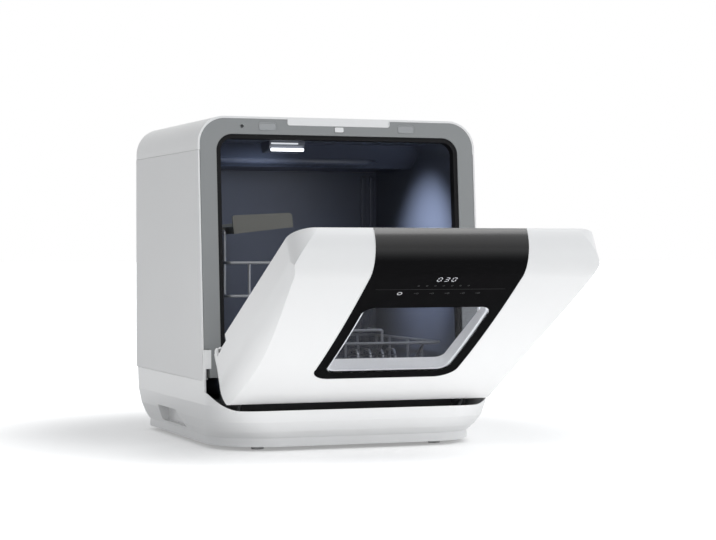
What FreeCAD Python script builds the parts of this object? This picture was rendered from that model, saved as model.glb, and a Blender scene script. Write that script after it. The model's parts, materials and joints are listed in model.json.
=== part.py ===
import FreeCAD, Part
import math
import os
import Sketcher

# A countertop dishwasher with its window door half open, in millimetres.
# +Z is up, the door faces -Y, and the origin is on the floor under the middle of the cabinet.

Vector = FreeCAD.Vector
doc = FreeCAD.newDocument("countertop_dishwasher")

# ---------------------------------------------------------------------------
# Driving sizes
# ---------------------------------------------------------------------------
DRIVING_SIZES = {
    # cabinet
    "body_width": 420, "body_depth": 376, "body_height": 465, "cover_height": 48, "seam_low": 96,
    "front_setback": 24, "sheet_wall": 2.5, "cover_wall": 3, "seam_gap": 0.3, "top_radius": 40,
    "rim_depth": 12, "rim_wall": 2,
    # base tray
    "base_bottom": 6, "base_wall": 2.4, "skirt_top": 18, "lip_height": 57.5, "lip_reach": 74,
    "lip_corner": 62, "rear_corner": 14, "skirt_side_inset": 13, "skirt_front_inset": 26,
    "skirt_rear_inset": 10, "skirt_corner": 84, "rear_skirt_corner": 28, "ear_width": 10,
    "ear_low": 113, "ear_top": 139, "ear_reach": 8, "mouth_corner": 42, "mouth_over": 4,
    "grip_depth": 20, "grip_low": 22, "grip_high": 45, "grip_front": -66, "grip_rear": 65,
    "grip_top_front": -32, "grip_top_rear": 67, "skirt_step": 0.8, "foot_radius": 10,
    "foot_inset": 77, "foot_ahead": 7, "foot_behind": 38,
    # front frame and seal
    "fascia_thick": 14, "fascia_low": 100, "fascia_margin": 3.2, "column_width": 27,
    "opening_low": 107, "head_width": 25, "opening_radius": 24, "seal_width": 6, "seal_sink": 1,
    "seal_gap": 0.3, "tongue_half_width": 77, "tongue_tall": 11, "catch_left_x": -107,
    "catch_right_x": 103, "catch_drop": 13.5, "catch_width": 26, "catch_tall": 12,
    "catch_plate": 2, "switch_drop": 16.5, "switch_width": 13, "switch_tall": 7,
    "switch_proud": 1.1,
    # tub
    "tub_inset": 3, "tub_wall": 3, "tub_floor": 72, "rear_space": 29, "ceiling_drop": 6,
    "ceiling_step": 32, "ceiling_step_front": -45, "ceiling_step_rear": 10, "tub_corner": 22,
    "flange_margin": 13, "flange_thick": 2.5, "sump_radius": 64, "sump_bottom": 36,
    "sump_wall": 2.5,
    # washing parts
    "post_radius": 11, "neck_radius": 7, "arm_low": 84, "arm_thick": 9, "arm_side_gap": 35,
    "arm_rear_gap": 14, "arm_root": 34, "arm_tip": 22, "hub_radius": 17, "hub_low": 81,
    "hub_high": 96, "shaft_gap": 0.06, "filter_cup_radius": 18, "filter_cup_x": 38,
    # rack and shelf
    "rack_side_gap": 17, "rack_front_gap": 33, "rack_rear_gap": 28, "rack_corner": 16,
    "front_splay": 49, "rear_splay": 9, "rail_low": 96, "rail_high": 100.5, "rail_width": 20,
    "rail_gap": 0.3, "shoe_tall": 4.2, "wire_radius": 2, "tine_radius": 1.6, "rail_rise": 36,
    "lip_rise": 55, "mid_rise": 105, "top_rise": 152, "tine_front": -52, "tine_rear": -12,
    "tine_pitch": 20, "hinge_rise": 197, "shelf_reach": 94, "shelf_rim": 10, "shelf_fence": 21,
    "shelf_tilt": 6.5, "shelf_front_gap": 5, "shelf_rear_gap": 43,
    # door, in its own upright frame about the hinge pin
    "pivot_ahead": 66, "pivot_z": 79.5, "door_lean": 61.5, "door_taper": 2.29,
    "door_side_gap": 3.2, "tail_side_inset": 0.4, "tail_plan_radius": 83, "tail_drop": 46,
    "tail_corner": 63, "door_top_gap": 2.5, "door_gap": 1.5, "door_wall": 3, "nose_radius": 45,
    "nose_y": 44, "door_face_y": -10, "door_bulge_y": -13, "door_bulge_z": 150,
    "door_foot_radius": 14, "door_foot_z": -5, "tail_radius": 64, "tail_start": 51.3,
    "door_edge_radius": 34, "door_low_corner": 36, "door_top_corner": 30, "band_half_width": 103,
    "band_low": 75.7, "band_corner": 28, "band_back": 47.4, "fit_gap": 0.3, "band_border": 15,
    "band_sill": 20, "window_drop": 109.3, "window_corner": 16, "frame_depth": 16,
    "frame_width": 6, "frame_seat": 3.7, "pane_side": 61.8, "pane_high": 178, "pane_thick": 2.5,
    "pane_curl": 45, "hinge_inset": 14, "arm_plate": 4, "lug_radius": 6.5, "hinge_slot": 12,
    "pin_radius": 3, "pin_gap": 0.05, "cheek_width": 12, "arm_heel": 48,
}


class Size:
    """A length that carries its number and the sheet expression that it comes from."""

    def __init__(self, number, text):
        self.number = float(number)
        self.text = text

    def _join(self, other, sign, number):
        return Size(number, f"({self.text} {sign} {other.text})")

    def __add__(self, other):
        other = as_size(other)
        return self._join(other, "+", self.number + other.number)

    def __sub__(self, other):
        other = as_size(other)
        return self._join(other, "-", self.number - other.number)

    def __mul__(self, other):
        other = as_size(other)
        return self._join(other, "*", self.number * other.number)

    def __truediv__(self, other):
        other = as_size(other)
        return self._join(other, "/", self.number / other.number)

    def __radd__(self, other):
        return as_size(other) + self

    def __rsub__(self, other):
        return as_size(other) - self

    def __rmul__(self, other):
        return as_size(other) * self

    def __neg__(self):
        return Size(-self.number, f"(0 - {self.text})")

    def __float__(self):
        return self.number


def as_size(value):
    """A plain number becomes a Size, and a Size stays as it is."""
    if isinstance(value, Size):
        return value
    return Size(value, f"({float(value):.6f})")


class Sizes:
    """The sheet's cells by name."""


sheet = doc.addObject("Spreadsheet::Sheet", "Sizes")
s = Sizes()
for row, (name, value) in enumerate(DRIVING_SIZES.items(), start=1):
    sheet.set(f"A{row}", name)
    sheet.set(f"B{row}", str(value))
    sheet.setAlias(f"B{row}", name)
doc.recompute()
for name in DRIVING_SIZES:
    setattr(s, name, Size(sheet.get(name), f"Sizes.{name}"))


def smaller(first, second):
    """The smaller of two sizes."""
    return Size(min(first.number, second.number), f"min({first.text}; {second.text})")


# ---------------------------------------------------------------------------
# Sizes that follow from the driving ones
# ---------------------------------------------------------------------------
# cabinet
s.seam_high = s.body_height - s.cover_height
# base tray
s.foot_x = s.body_width / 2 - s.foot_inset
s.foot_front_y = -s.body_depth / 2 - s.foot_ahead
s.foot_rear_y = s.body_depth / 2 - s.foot_behind
# front frame and seal
s.opening_half_width = s.body_width / 2 - s.column_width
s.opening_high = s.body_height - s.head_width
s.tongue_low = s.body_height - s.tongue_tall
s.catch_height = s.body_height - s.catch_drop
s.switch_height = s.body_height - s.switch_drop
# tub
s.tub_half_width = s.opening_half_width - s.tub_inset
s.tub_rear = s.body_depth / 2 - s.rear_space
s.ceiling_front = s.opening_high - s.ceiling_drop
s.ceiling_rear = s.ceiling_front - s.ceiling_step
# washing parts
s.arm_reach = smaller(s.tub_half_width - s.arm_side_gap, s.tub_rear - s.arm_rear_gap)
# rack and shelf
s.rack_half_width = s.tub_half_width - s.rack_side_gap
s.rack_front = s.rack_front_gap - s.body_depth / 2
s.rack_rear = s.tub_rear - s.rack_rear_gap
s.rack_floor_front = s.rack_front + s.front_splay
s.rack_floor_rear = s.rack_rear - s.rear_splay
s.rack_floor = s.rail_high + s.rail_gap + s.shoe_tall + s.wire_radius
s.rack_rail = s.rack_floor + s.rail_rise
s.rack_lip = s.rack_floor + s.lip_rise
s.rack_mid_rail = s.rack_floor + s.mid_rise
s.rack_top_rail = s.rack_floor + s.top_rise
s.shelf_hinge_height = s.rack_floor + s.hinge_rise
s.shelf_front = s.rack_front + s.shelf_front_gap
s.shelf_rear = s.rack_rear - s.shelf_rear_gap
# door, in its own upright frame about the hinge pin
s.pivot_y = -s.body_depth / 2 - s.pivot_ahead
s.door_half_width = s.body_width / 2 - s.door_side_gap
s.door_top = s.body_height - s.pivot_z - s.door_top_gap
s.window_half_width = s.band_half_width - s.band_border
s.window_low = s.band_low + s.band_sill
s.window_high = s.door_top - s.window_drop
s.pane_half_width = s.door_half_width - s.pane_side
s.hinge_x = s.tub_half_width - s.hinge_inset

NODES = []


def keep(thing, label, placement=None):
    """Name a finished sub-part and list it for writing."""
    thing.Label = label
    if placement is not None:
        thing.Placement = placement
    NODES.append(thing)
    return thing


def bind(thing, prop, size):
    """Hold one property of an object to the sheet."""
    thing.setExpression(prop, as_size(size).text)


# ---------------------------------------------------------------------------
# Sketch outlines
# ---------------------------------------------------------------------------
ORIGIN = -1
X_AXIS = -1
Y_AXIS = -2
START = 1
END = 2
CENTRE = 3


def hold(sketch, geometry, point, x=None, y=None):
    """Hold one point of a sketch at x and y from the sketch's origin."""
    for kind, axis, value in (("DistanceX", Y_AXIS, x), ("DistanceY", X_AXIS, y)):
        if value is None:
            continue
        value = as_size(value)
        if abs(value.number) < 1e-6:
            sketch.addConstraint(Sketcher.Constraint("PointOnObject", geometry, point, axis))
            continue
        index = sketch.addConstraint(
            Sketcher.Constraint(kind, ORIGIN, START, geometry, point, value.number))
        sketch.setExpression(f"Constraints[{index}]", value.text)


def at(x, y):
    """A sketch point from two sizes."""
    return Vector(float(as_size(x)), float(as_size(y)), 0)


def polygon(points):
    """A closed outline of straight sides."""
    def draw(sketch):
        first = sketch.GeometryCount
        count = len(points)
        for index, (x, y) in enumerate(points):
            following = points[(index + 1) % count]
            sketch.addGeometry(Part.LineSegment(at(x, y), at(*following)), False)
        for index in range(count):
            sketch.addConstraint(Sketcher.Constraint(
                "Coincident", first + index, END, first + (index + 1) % count, START))
        for index, (x, y) in enumerate(points):
            hold(sketch, first + index, START, x, y)
    return draw


def rectangle(left, right, low, high):
    """A closed rectangle."""
    return polygon([(left, low), (right, low), (right, high), (left, high)])


def rounded(left, right, low, high, low_radius, high_radius=None):
    """A rectangle with round corners, whose lower and upper pairs may differ."""
    if high_radius is None:
        high_radius = low_radius

    def draw(sketch):
        first = sketch.GeometryCount
        lo = float(as_size(low_radius))
        hi = float(as_size(high_radius))
        x0, x1, y0, y1 = (float(as_size(v)) for v in (left, right, low, high))

        def side(ax, ay, bx, by):
            sketch.addGeometry(Part.LineSegment(Vector(ax, ay, 0), Vector(bx, by, 0)), False)

        def corner(cx, cy, radius, quarter):
            circle = Part.Circle(Vector(cx, cy, 0), Vector(0, 0, 1), radius)
            start = math.radians(90 * quarter)
            sketch.addGeometry(Part.ArcOfCircle(circle, start, start + math.pi / 2), False)

        side(x0 + lo, y0, x1 - lo, y0)
        corner(x1 - lo, y0 + lo, lo, 3)
        side(x1, y0 + lo, x1, y1 - hi)
        corner(x1 - hi, y1 - hi, hi, 0)
        side(x1 - hi, y1, x0 + hi, y1)
        corner(x0 + hi, y1 - hi, hi, 1)
        side(x0, y1 - hi, x0, y0 + lo)
        corner(x0 + lo, y0 + lo, lo, 2)
        for index in range(8):
            sketch.addConstraint(Sketcher.Constraint(
                "Tangent", first + index, END, first + (index + 1) % 8, START))
        sketch.addConstraint(Sketcher.Constraint("Horizontal", first))
        sketch.addConstraint(Sketcher.Constraint("Vertical", first + 2))
        sketch.addConstraint(Sketcher.Constraint("Horizontal", first + 4))
        sketch.addConstraint(Sketcher.Constraint("Vertical", first + 6))
        for arc, size in ((1, low_radius), (3, high_radius)):
            index = sketch.addConstraint(
                Sketcher.Constraint("Radius", first + arc, float(as_size(size))))
            sketch.setExpression(f"Constraints[{index}]", as_size(size).text)
        sketch.addConstraint(Sketcher.Constraint("Equal", first + 1, first + 7))
        sketch.addConstraint(Sketcher.Constraint("Equal", first + 3, first + 5))
        hold(sketch, first, START, None, low)
        hold(sketch, first + 4, START, None, high)
        hold(sketch, first + 2, START, right, None)
        hold(sketch, first + 6, START, left, None)
    return draw


def circle(x, y, radius):
    """A full circle."""
    def draw(sketch):
        index = sketch.addGeometry(Part.Circle(at(x, y), Vector(0, 0, 1), float(as_size(radius))), False)
        held = sketch.addConstraint(Sketcher.Constraint("Radius", index, float(as_size(radius))))
        sketch.setExpression(f"Constraints[{held}]", as_size(radius).text)
        hold(sketch, index, CENTRE, x, y)
    return draw


# ---------------------------------------------------------------------------
# Bodies made of pads and pockets on their own origin planes
# ---------------------------------------------------------------------------
def new_body(name):
    """An empty body."""
    return doc.addObject("PartDesign::Body", name)


def sketch_in(body, plane, offset, *outlines):
    """A sketch on one of the body's origin planes, moved along its normal."""
    wanted = plane + "_Plane"
    support = next(f for f in body.Origin.OriginFeatures if f.Role == wanted)
    sketch = body.newObject("Sketcher::SketchObject", body.Name + "_sketch")
    sketch.AttachmentSupport = [(support, "")]
    sketch.MapMode = "FlatFace"
    sketch.setExpression("AttachmentOffset.Base.z", as_size(offset).text)
    for outline in outlines:
        outline(sketch)
    return sketch


def pad(body, plane, low, high, *outlines):
    """Add the outline between low and high along the plane's axis (Z, Y or X)."""
    start = -as_size(high) if plane == "XZ" else as_size(low)
    feature = body.newObject("PartDesign::Pad", body.Name + "_pad")
    feature.Profile = sketch_in(body, plane, start, *outlines)
    bind(feature, "Length", as_size(high) - low)
    body.Tip = feature
    return feature


def pocket(body, plane, low, high, *outlines):
    """Take the outline away between low and high along the plane's axis."""
    start = -as_size(low) if plane == "XZ" else as_size(high)
    feature = body.newObject("PartDesign::Pocket", body.Name + "_pocket")
    feature.Profile = sketch_in(body, plane, start, *outlines)
    bind(feature, "Length", as_size(high) - low)
    body.Tip = feature
    return feature


def loft(body, kind, sections):
    """A loft through outlines at rising heights; kind is Additive or Subtractive."""
    sketches = [sketch_in(body, "XY", height, outline) for height, outline in sections]
    feature = body.newObject(f"PartDesign::{kind}Loft", body.Name + "_loft")
    feature.Profile = sketches[0]
    feature.Sections = sketches[1:]
    feature.Ruled = True
    body.Tip = feature
    return feature


def turn(body, kind, plane, axis, outline):
    """A turned form about a sketch axis; kind is Revolution or Groove."""
    feature = body.newObject(f"PartDesign::{kind}", body.Name + "_turned")
    sketch = sketch_in(body, plane, 0, outline)
    feature.Profile = sketch
    feature.ReferenceAxis = (sketch, [axis])
    feature.Angle = 360
    body.Tip = feature
    return feature


def fillet_edges(body, radius, wanted):
    """Round the tip's edges that the test picks."""
    doc.recompute()
    base = body.Tip
    names = [f"Edge{i}" for i, edge in enumerate(base.Shape.Edges, start=1) if wanted(edge)]
    if not names:
        raise RuntimeError(f"{body.Name}: no edge to round")
    feature = body.newObject("PartDesign::Fillet", body.Name + "_fillet")
    feature.Base = (base, names)
    bind(feature, "Radius", radius)
    body.Tip = feature
    return feature


def along(edge, axis):
    """True for a straight edge that runs along the axis."""
    if edge.Curve.TypeId != "Part::GeomLine":
        return False
    return abs(edge.tangentAt(edge.FirstParameter).dot(axis)) > 0.999


# ---------------------------------------------------------------------------
# Plain solids and booleans
# ---------------------------------------------------------------------------
def block(name, x, y, z):
    """A box between the pairs x, y and z."""
    box = doc.addObject("Part::Box", name)
    for prop, axis, (low, high) in (("Length", "x", x), ("Width", "y", y), ("Height", "z", z)):
        bind(box, prop, as_size(high) - low)
        bind(box, "Placement.Base." + axis, low)
    return box


TURNS = {
    "X": FreeCAD.Rotation(Vector(0, 1, 0), 90),
    "Y": FreeCAD.Rotation(Vector(1, 0, 0), -90),
    "Z": FreeCAD.Rotation(),
}


def rod(name, axis, radius, start, length):
    """A cylinder along an axis from its start point."""
    cylinder = doc.addObject("Part::Cylinder", name)
    cylinder.Placement = FreeCAD.Placement(Vector(), TURNS[axis])
    bind(cylinder, "Radius", radius)
    bind(cylinder, "Height", length)
    for letter, value in zip("xyz", start):
        bind(cylinder, "Placement.Base." + letter, value)
    return cylinder


def fuse(name, *shapes):
    """Several solids joined into one."""
    joined = doc.addObject("Part::MultiFuse", name)
    joined.Shapes = list(shapes)
    return joined


def cut(name, base, *tools):
    """A solid with other solids taken away."""
    result = doc.addObject("Part::Cut", name)
    result.Base = base
    result.Tool = tools[0] if len(tools) == 1 else fuse(name + "_tools", *tools)
    return result


def common(name, *shapes):
    """What several solids share."""
    shared = doc.addObject("Part::MultiCommon", name)
    shared.Shapes = list(shapes)
    return shared


PLANE_TURNS = {
    "XY": FreeCAD.Rotation(),
    "XZ": FreeCAD.Rotation(Vector(1, 0, 0), 90),
    "YZ": FreeCAD.Rotation(Vector(1, 1, 1), 120),
}


def slab(name, plane, low, high, *outlines):
    """A free extrusion of outlines between low and high along the plane's axis."""
    sketch = doc.addObject("Sketcher::SketchObject", name + "_sketch")
    sketch.Placement = FreeCAD.Placement(Vector(), PLANE_TURNS[plane])
    axis = {"XY": "z", "XZ": "y", "YZ": "x"}[plane]
    start = high if plane == "XZ" else low
    bind(sketch, "Placement.Base." + axis, start)
    for outline in outlines:
        outline(sketch)
    extrusion = doc.addObject("Part::Extrusion", name)
    extrusion.Base = sketch
    extrusion.DirMode = "Normal"
    extrusion.Solid = True
    bind(extrusion, "LengthFwd", as_size(high) - low)
    return extrusion


# ---------------------------------------------------------------------------
# Shared places, worked out from the driving sizes
# ---------------------------------------------------------------------------
half_width = s.body_width / 2
front = -(s.body_depth / 2)
back = s.body_depth / 2
front_slope = s.front_setback / (s.seam_high - s.seam_low)
lean_angle = math.degrees(math.atan(float(front_slope)))
lean_cosine = math.cos(math.radians(lean_angle))
panel_gap = s.seam_gap


def front_at(height):
    """How far back the leaning front plane lies at a height."""
    return front + front_slope * (height - s.seam_low)


def along_front(y, z):
    """How far a point lies up the leaning front, and how far it stands off it."""
    sine = math.sin(math.radians(lean_angle))
    rise = as_size(z) - s.seam_low
    run = as_size(y) - front
    return run * sine + rise * lean_cosine, rise * sine - run * lean_cosine


def up_front(height):
    """A height measured up the leaning front plane from the lower seam."""
    return (height - s.seam_low) / lean_cosine


pivot_up, pivot_off = along_front(s.pivot_y, s.pivot_z)
door_inner = pivot_off - s.door_gap

LEANING = FreeCAD.Placement(
    Vector(0, float(front), float(s.seam_low)), FreeCAD.Rotation(Vector(1, 0, 0), -lean_angle))
DOOR_PLACE = FreeCAD.Placement(
    Vector(0, float(s.pivot_y), float(s.pivot_z)),
    FreeCAD.Rotation(Vector(1, 0, 0), float(s.door_lean)))
# The door is thinner at its top, so its inner face has a frame of its own, turned by the taper.
INNER_PLACE = FreeCAD.Placement(
    Vector(0, float(s.pivot_y), float(s.pivot_z)),
    FreeCAD.Rotation(Vector(1, 0, 0), float(s.door_lean + s.door_taper)))
taper = math.radians(float(s.door_taper))


def inner_face_at(height, reach_back=0):
    """Where the tapered inner face lies at a height in the door's frame."""
    offset = door_inner + reach_back
    return (offset - as_size(height) * math.sin(taper)) / math.cos(taper)


# ---------------------------------------------------------------------------
# Base tray: a hull that stands forward of the cabinet and carries the door
# ---------------------------------------------------------------------------
def base_outline(side_inset, front_inset, rear_inset, corner, rear_corner, wall=0):
    """One level of the hull, seen from above."""
    reach = front - s.lip_reach
    return rounded(
        -half_width + side_inset + wall, half_width - side_inset - wall,
        reach + front_inset + wall, back - rear_inset - wall,
        corner - wall, rear_corner - wall)


def hull_levels(wall):
    """The hull's levels, drawn in toward the skirt along a power curve."""
    levels = []
    for rise in (0, 0.12, 0.3, 0.58, 1):
        drawn_in = (1 - rise) ** HULL_CURVE
        levels.append((s.skirt_top + (s.seam_low - s.skirt_top) * rise, base_outline(
            s.skirt_side_inset * drawn_in, s.skirt_front_inset * drawn_in,
            s.skirt_rear_inset * drawn_in,
            s.lip_corner + (s.skirt_corner - s.lip_corner) * drawn_in,
            s.rear_corner + (s.rear_skirt_corner - s.rear_corner) * drawn_in, wall)))
    return levels


HULL_CURVE = 3.2


def base_hull(name, wall):
    """The hull and its skirt as one solid, pulled in by the wall."""
    body = new_body(name)
    loft(body, "Additive", hull_levels(wall))
    inset = s.skirt_step
    pad(body, "XY", s.base_bottom + wall, s.skirt_top,
        base_outline(s.skirt_side_inset + inset, s.skirt_front_inset + inset,
                     s.skirt_rear_inset + inset, s.skirt_corner, s.rear_skirt_corner, wall))
    return body


def make_base_tray():
    """White moulded tray with a low front lip, two ears and a hand grip in each side."""
    wall = s.base_wall
    ear_front = front - s.ear_reach
    grip_back = half_width - s.grip_depth
    grip = [(s.grip_front, s.grip_low), (s.grip_rear, s.grip_low),
            (s.grip_top_rear, s.grip_high), (s.grip_top_front, s.grip_high)]
    ears = []
    grip_walls = []
    grips = []
    for side in (-1, 1):
        outer = side * half_width
        for width, low in ((s.ear_width, s.ear_low), (wall, s.seam_low - 1)):
            inner = side * (half_width - width)
            span = (inner, outer) if side > 0 else (outer, inner)
            ears.append(block("ear", span, (ear_front, front - s.seam_gap), (low, s.ear_top)))
        inner = side * (grip_back - wall)
        span = (inner, outer) if side > 0 else (outer, inner)
        grip_walls.append(block("grip_wall", span, (s.grip_front - wall, s.grip_top_rear + wall),
                                (s.grip_low - wall, s.grip_high + wall)))
        inner = side * grip_back
        near, far = (inner, outer) if side > 0 else (outer, inner)
        grips.append(slab("grip", "YZ", near, far, polygon(grip)))
    hollow = cut("base_hollow", base_hull("base_inside", wall), *grip_walls)
    mouth = half_width + s.mouth_over
    low_front = slab("base_mouth", "XZ", front - s.lip_reach - 20, ear_front, rounded(
        -mouth, mouth, s.lip_height, s.ear_top + 40, s.mouth_corner, 2))
    shell = fuse("base_shell", cut("base_bowl", base_hull("base_outside", as_size(0)), hollow), *ears)
    return keep(cut("base_tray", shell, low_front, *grips), "base_tray")


def make_feet():
    """Four pale pads under the tray."""
    feet = []
    for x_place in (-s.foot_x, s.foot_x):
        for y_place in (s.foot_front_y, s.foot_rear_y):
            cone = doc.addObject("Part::Cone", "foot")
            bind(cone, "Radius1", s.foot_radius - 1.5)
            bind(cone, "Radius2", s.foot_radius)
            bind(cone, "Height", s.base_bottom)
            bind(cone, "Placement.Base.x", x_place)
            bind(cone, "Placement.Base.y", y_place)
            feet.append(cone)
    group = doc.addObject("Part::Compound", "feet")
    group.Links = feet
    return keep(group, "feet")


def make_front_well():
    """Dark trough behind the lip, where the tail of the door turns."""
    body = new_body("front_well")
    floor_low = s.base_bottom + s.base_wall
    floor_high = floor_low + 2.5
    wall_front = front - 0.5
    wall_rear = front + 2
    trough_half = 140
    lip_front = front - 38
    pad(body, "YZ", -trough_half, trough_half,
        polygon([(lip_front, floor_low), (wall_rear, floor_low), (wall_rear, floor_high),
                 (lip_front + 3, floor_high), (lip_front, floor_high + 5)]))
    pad(body, "XZ", wall_front, wall_rear,
        rounded(-(half_width - 25), half_width - 25, floor_low, s.seam_low + 2, 12, 2))
    for side in (-1, 1):
        middle = side * s.hinge_x
        slot = s.arm_plate / 2 + 0.4
        pocket(body, "XZ", wall_front, wall_rear,
               rectangle(middle - slot, middle + slot, s.arm_heel - 1, s.pivot_z + s.lug_radius + 1))
    for index in range(5):
        x_rib = -120 + 60 * index
        pad(body, "YZ", x_rib - 1, x_rib + 1,
            polygon([(wall_rear, floor_high), (wall_rear + 10, floor_high), (wall_rear, s.seam_low)]))
    return keep(body, "front_well")


def make_side_panel(side):
    """One painted side with a hemmed edge behind the front frame."""
    name = "side_panel_left" if side < 0 else "side_panel_right"
    body = new_body(name)
    low = s.seam_low + panel_gap
    high = s.seam_high - panel_gap
    sheet_inner = half_width - s.sheet_wall
    hem_inner = half_width - s.rim_depth

    def span(near, far):
        return (near, far) if side > 0 else (-far, -near)

    pad(body, "YZ", *span(sheet_inner, half_width),
        polygon([(front_at(low), low), (back, low), (back, high), (front_at(high), high)]))
    behind = s.fascia_thick + 2
    pad(body, "YZ", *span(hem_inner, sheet_inner),
        polygon([(front_at(low) + behind, low), (back, low), (back, high),
                 (front_at(high) + behind, high)]))
    rim = s.rim_wall
    pocket(body, "YZ", *span(hem_inner, sheet_inner),
           polygon([(front_at(low) + behind + rim, low + rim), (back - rim, low + rim),
                    (back - rim, high - rim), (front_at(high) + behind + rim, high - rim)]))
    fillet_edges(body, 4, lambda edge: along(edge, Vector(0, 0, 1))
                 and abs(abs(edge.CenterOfMass.x) - float(half_width)) < 0.01
                 and edge.CenterOfMass.y > float(back) - 0.01)
    return keep(body, name)


def make_rear_panel():
    """Rear sheet with louvres and three holes for the services."""
    body = new_body("rear_panel")
    low = s.seam_low + panel_gap
    high = s.seam_high - panel_gap
    reach = half_width - s.rim_depth - panel_gap
    face = back - s.sheet_wall
    pad(body, "XZ", face, back, rectangle(-reach, reach, low, high))
    hem = 8
    pad(body, "XZ", face - hem, face, rectangle(-reach, reach, low, low + s.rim_wall))
    pad(body, "XZ", face - hem, face, rectangle(-reach, reach, high - s.rim_wall, high))
    slots = [rectangle(60, 160, 300 + 14 * i, 306 + 14 * i) for i in range(6)]
    pocket(body, "XZ", face, back, *slots)
    holes = [circle(x, SERVICE_HEIGHT, radius + 0.3) for x, radius in SERVICES.values()]
    pocket(body, "XZ", face, back, *holes)
    return keep(body, "rear_panel")


SERVICE_HEIGHT = 130
SERVICES = {
    "water_inlet": (60 - half_width, 13),
    "drain_outlet": (110 - half_width, 9),
    "power_gland": (half_width - 60, 9),
}


def make_top_cover():
    """White moulded cover with rolled sides, a fill port and a tongue over the front frame."""
    body = new_body("top_cover")
    low = s.seam_high
    wall = s.cover_wall
    front_line = front_at(s.seam_high)
    pad(body, "XZ", front_line, back,
        rounded(-half_width, half_width, low - 30, s.body_height, 1, s.top_radius))
    pocket(body, "XZ", front_line, back,
           rectangle(-half_width - 1, half_width + 1, low - 31, low))
    fillet_edges(body, 6, lambda edge: edge.BoundBox.YMin > float(back) - 0.01
                 and edge.BoundBox.ZMax > float(low) + 1)
    pocket(body, "XZ", front_line, back - wall,
           rounded(-half_width + wall, half_width - wall, low - 30, s.body_height - wall,
                   1, s.top_radius - wall))
    tongue_y = front_line + s.fascia_thick + 6
    pad(body, "XZ", front_line, tongue_y,
        rounded(-s.tongue_half_width, s.tongue_half_width, s.tongue_low, s.body_height - 1, 3, 1))
    left, right, fore, rear = LID_SPAN
    boss_low = s.body_height - 7
    pad(body, "XY", boss_low, s.body_height - wall,
        rectangle(left - 6, right + 6, fore - 6, rear + 6))
    pocket(body, "XY", s.body_height - 2.7, s.body_height, rectangle(left, right, fore, rear))
    pocket(body, "XY", boss_low, s.body_height, rectangle(left + 6, right - 6, fore + 6, rear))
    pocket(body, "XY", boss_low, s.body_height, rectangle(left, right, LID_PIN_Y - 4, rear))
    pocket(body, "YZ", left - 2.5, right + 2.5, circle(LID_PIN_Y, LID_PIN_Z, 1.15))
    doc.recompute()
    top = s.body_height + 10
    pocket(body, "YZ", -half_width - 1, half_width + 1,
           polygon([(front_at(low - 5) - 40, low - 5), (front_at(low - 5), low - 5),
                    (front_at(top), top), (front_at(low - 5) - 40, top)]))
    return keep(body, "top_cover")


LID_LEFT = 60 - half_width
LID_SPAN = (LID_LEFT, LID_LEFT + 80, back - 128, back - 48)
LID_PIN_Y = back - 51
LID_PIN_Z = s.body_height - 1.3


def make_fill_lid():
    """Flush lid over the fill port, on two stub pins at its rear edge."""
    left, right, fore, rear = LID_SPAN
    gap = 0.4
    body = new_body("fill_lid")
    pad(body, "XY", s.body_height - 2.4, s.body_height,
        rounded(left + gap, right - gap, fore + gap, LID_PIN_Y + 1.3, 1))
    pad(body, "YZ", left - 2, right + 2, circle(LID_PIN_Y, LID_PIN_Z, 1.1))
    pocket(body, "XY", s.body_height - 1.2, s.body_height,
           rounded(left + 28, right - 28, fore + gap + 2, fore + 12, 3))
    return keep(body, "fill_lid")


def make_fascia():
    """Grey front frame that leans back with the cabinet's front."""
    body = new_body("fascia_frame")
    reach = half_width - s.fascia_margin
    thick = s.fascia_thick
    top = up_front(s.body_height - s.fascia_margin)
    pad(body, "XZ", 0, thick,
        rounded(-reach, reach, up_front(s.fascia_low), top, 4, s.top_radius - s.fascia_margin))
    pocket(body, "XZ", 0, thick,
           rounded(-s.opening_half_width, s.opening_half_width,
                   up_front(s.opening_low), up_front(s.opening_high), s.opening_radius))
    ear_inner = half_width - s.ear_width - 0.4
    for side in (-1, 1):
        near, far = (ear_inner, half_width) if side > 0 else (-half_width, -ear_inner)
        pocket(body, "XZ", 0, thick,
               rectangle(near, far, up_front(s.fascia_low) - 5, up_front(s.ear_top + 0.4)))
    gap = 0.4
    pocket(body, "XZ", 0, thick,
           rounded(-s.tongue_half_width - gap, s.tongue_half_width + gap,
                   up_front(s.tongue_low - gap), top + 10, 3, 1))
    for middle in (s.catch_left_x, s.catch_right_x):
        half = s.catch_width / 2
        tall = s.catch_tall / 2
        height = up_front(s.catch_height)
        pocket(body, "XZ", 0, s.catch_plate + 0.1,
               rounded(middle - half - 0.2, middle + half + 0.2,
                       height - tall - 0.2, height + tall + 0.2, 4.2))
        pocket(body, "XZ", 0, thick,
               rectangle(middle - half + 1.8, middle + half - 1.8, height - tall + 0.8,
                         height + tall - 0.8))
    switch = up_front(s.switch_height)
    pocket(body, "XZ", 0, thick,
           rectangle(-s.switch_width / 2 - 0.3, s.switch_width / 2 + 0.3,
                     switch - s.switch_tall / 2 - 0.3, switch + s.switch_tall / 2 + 0.3))
    pocket(body, "XZ", 0, 5,
           circle(s.catch_left_x - 38, up_front(s.catch_height - 0.5), 2.6))
    return keep(body, "fascia_frame", LEANING)


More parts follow.
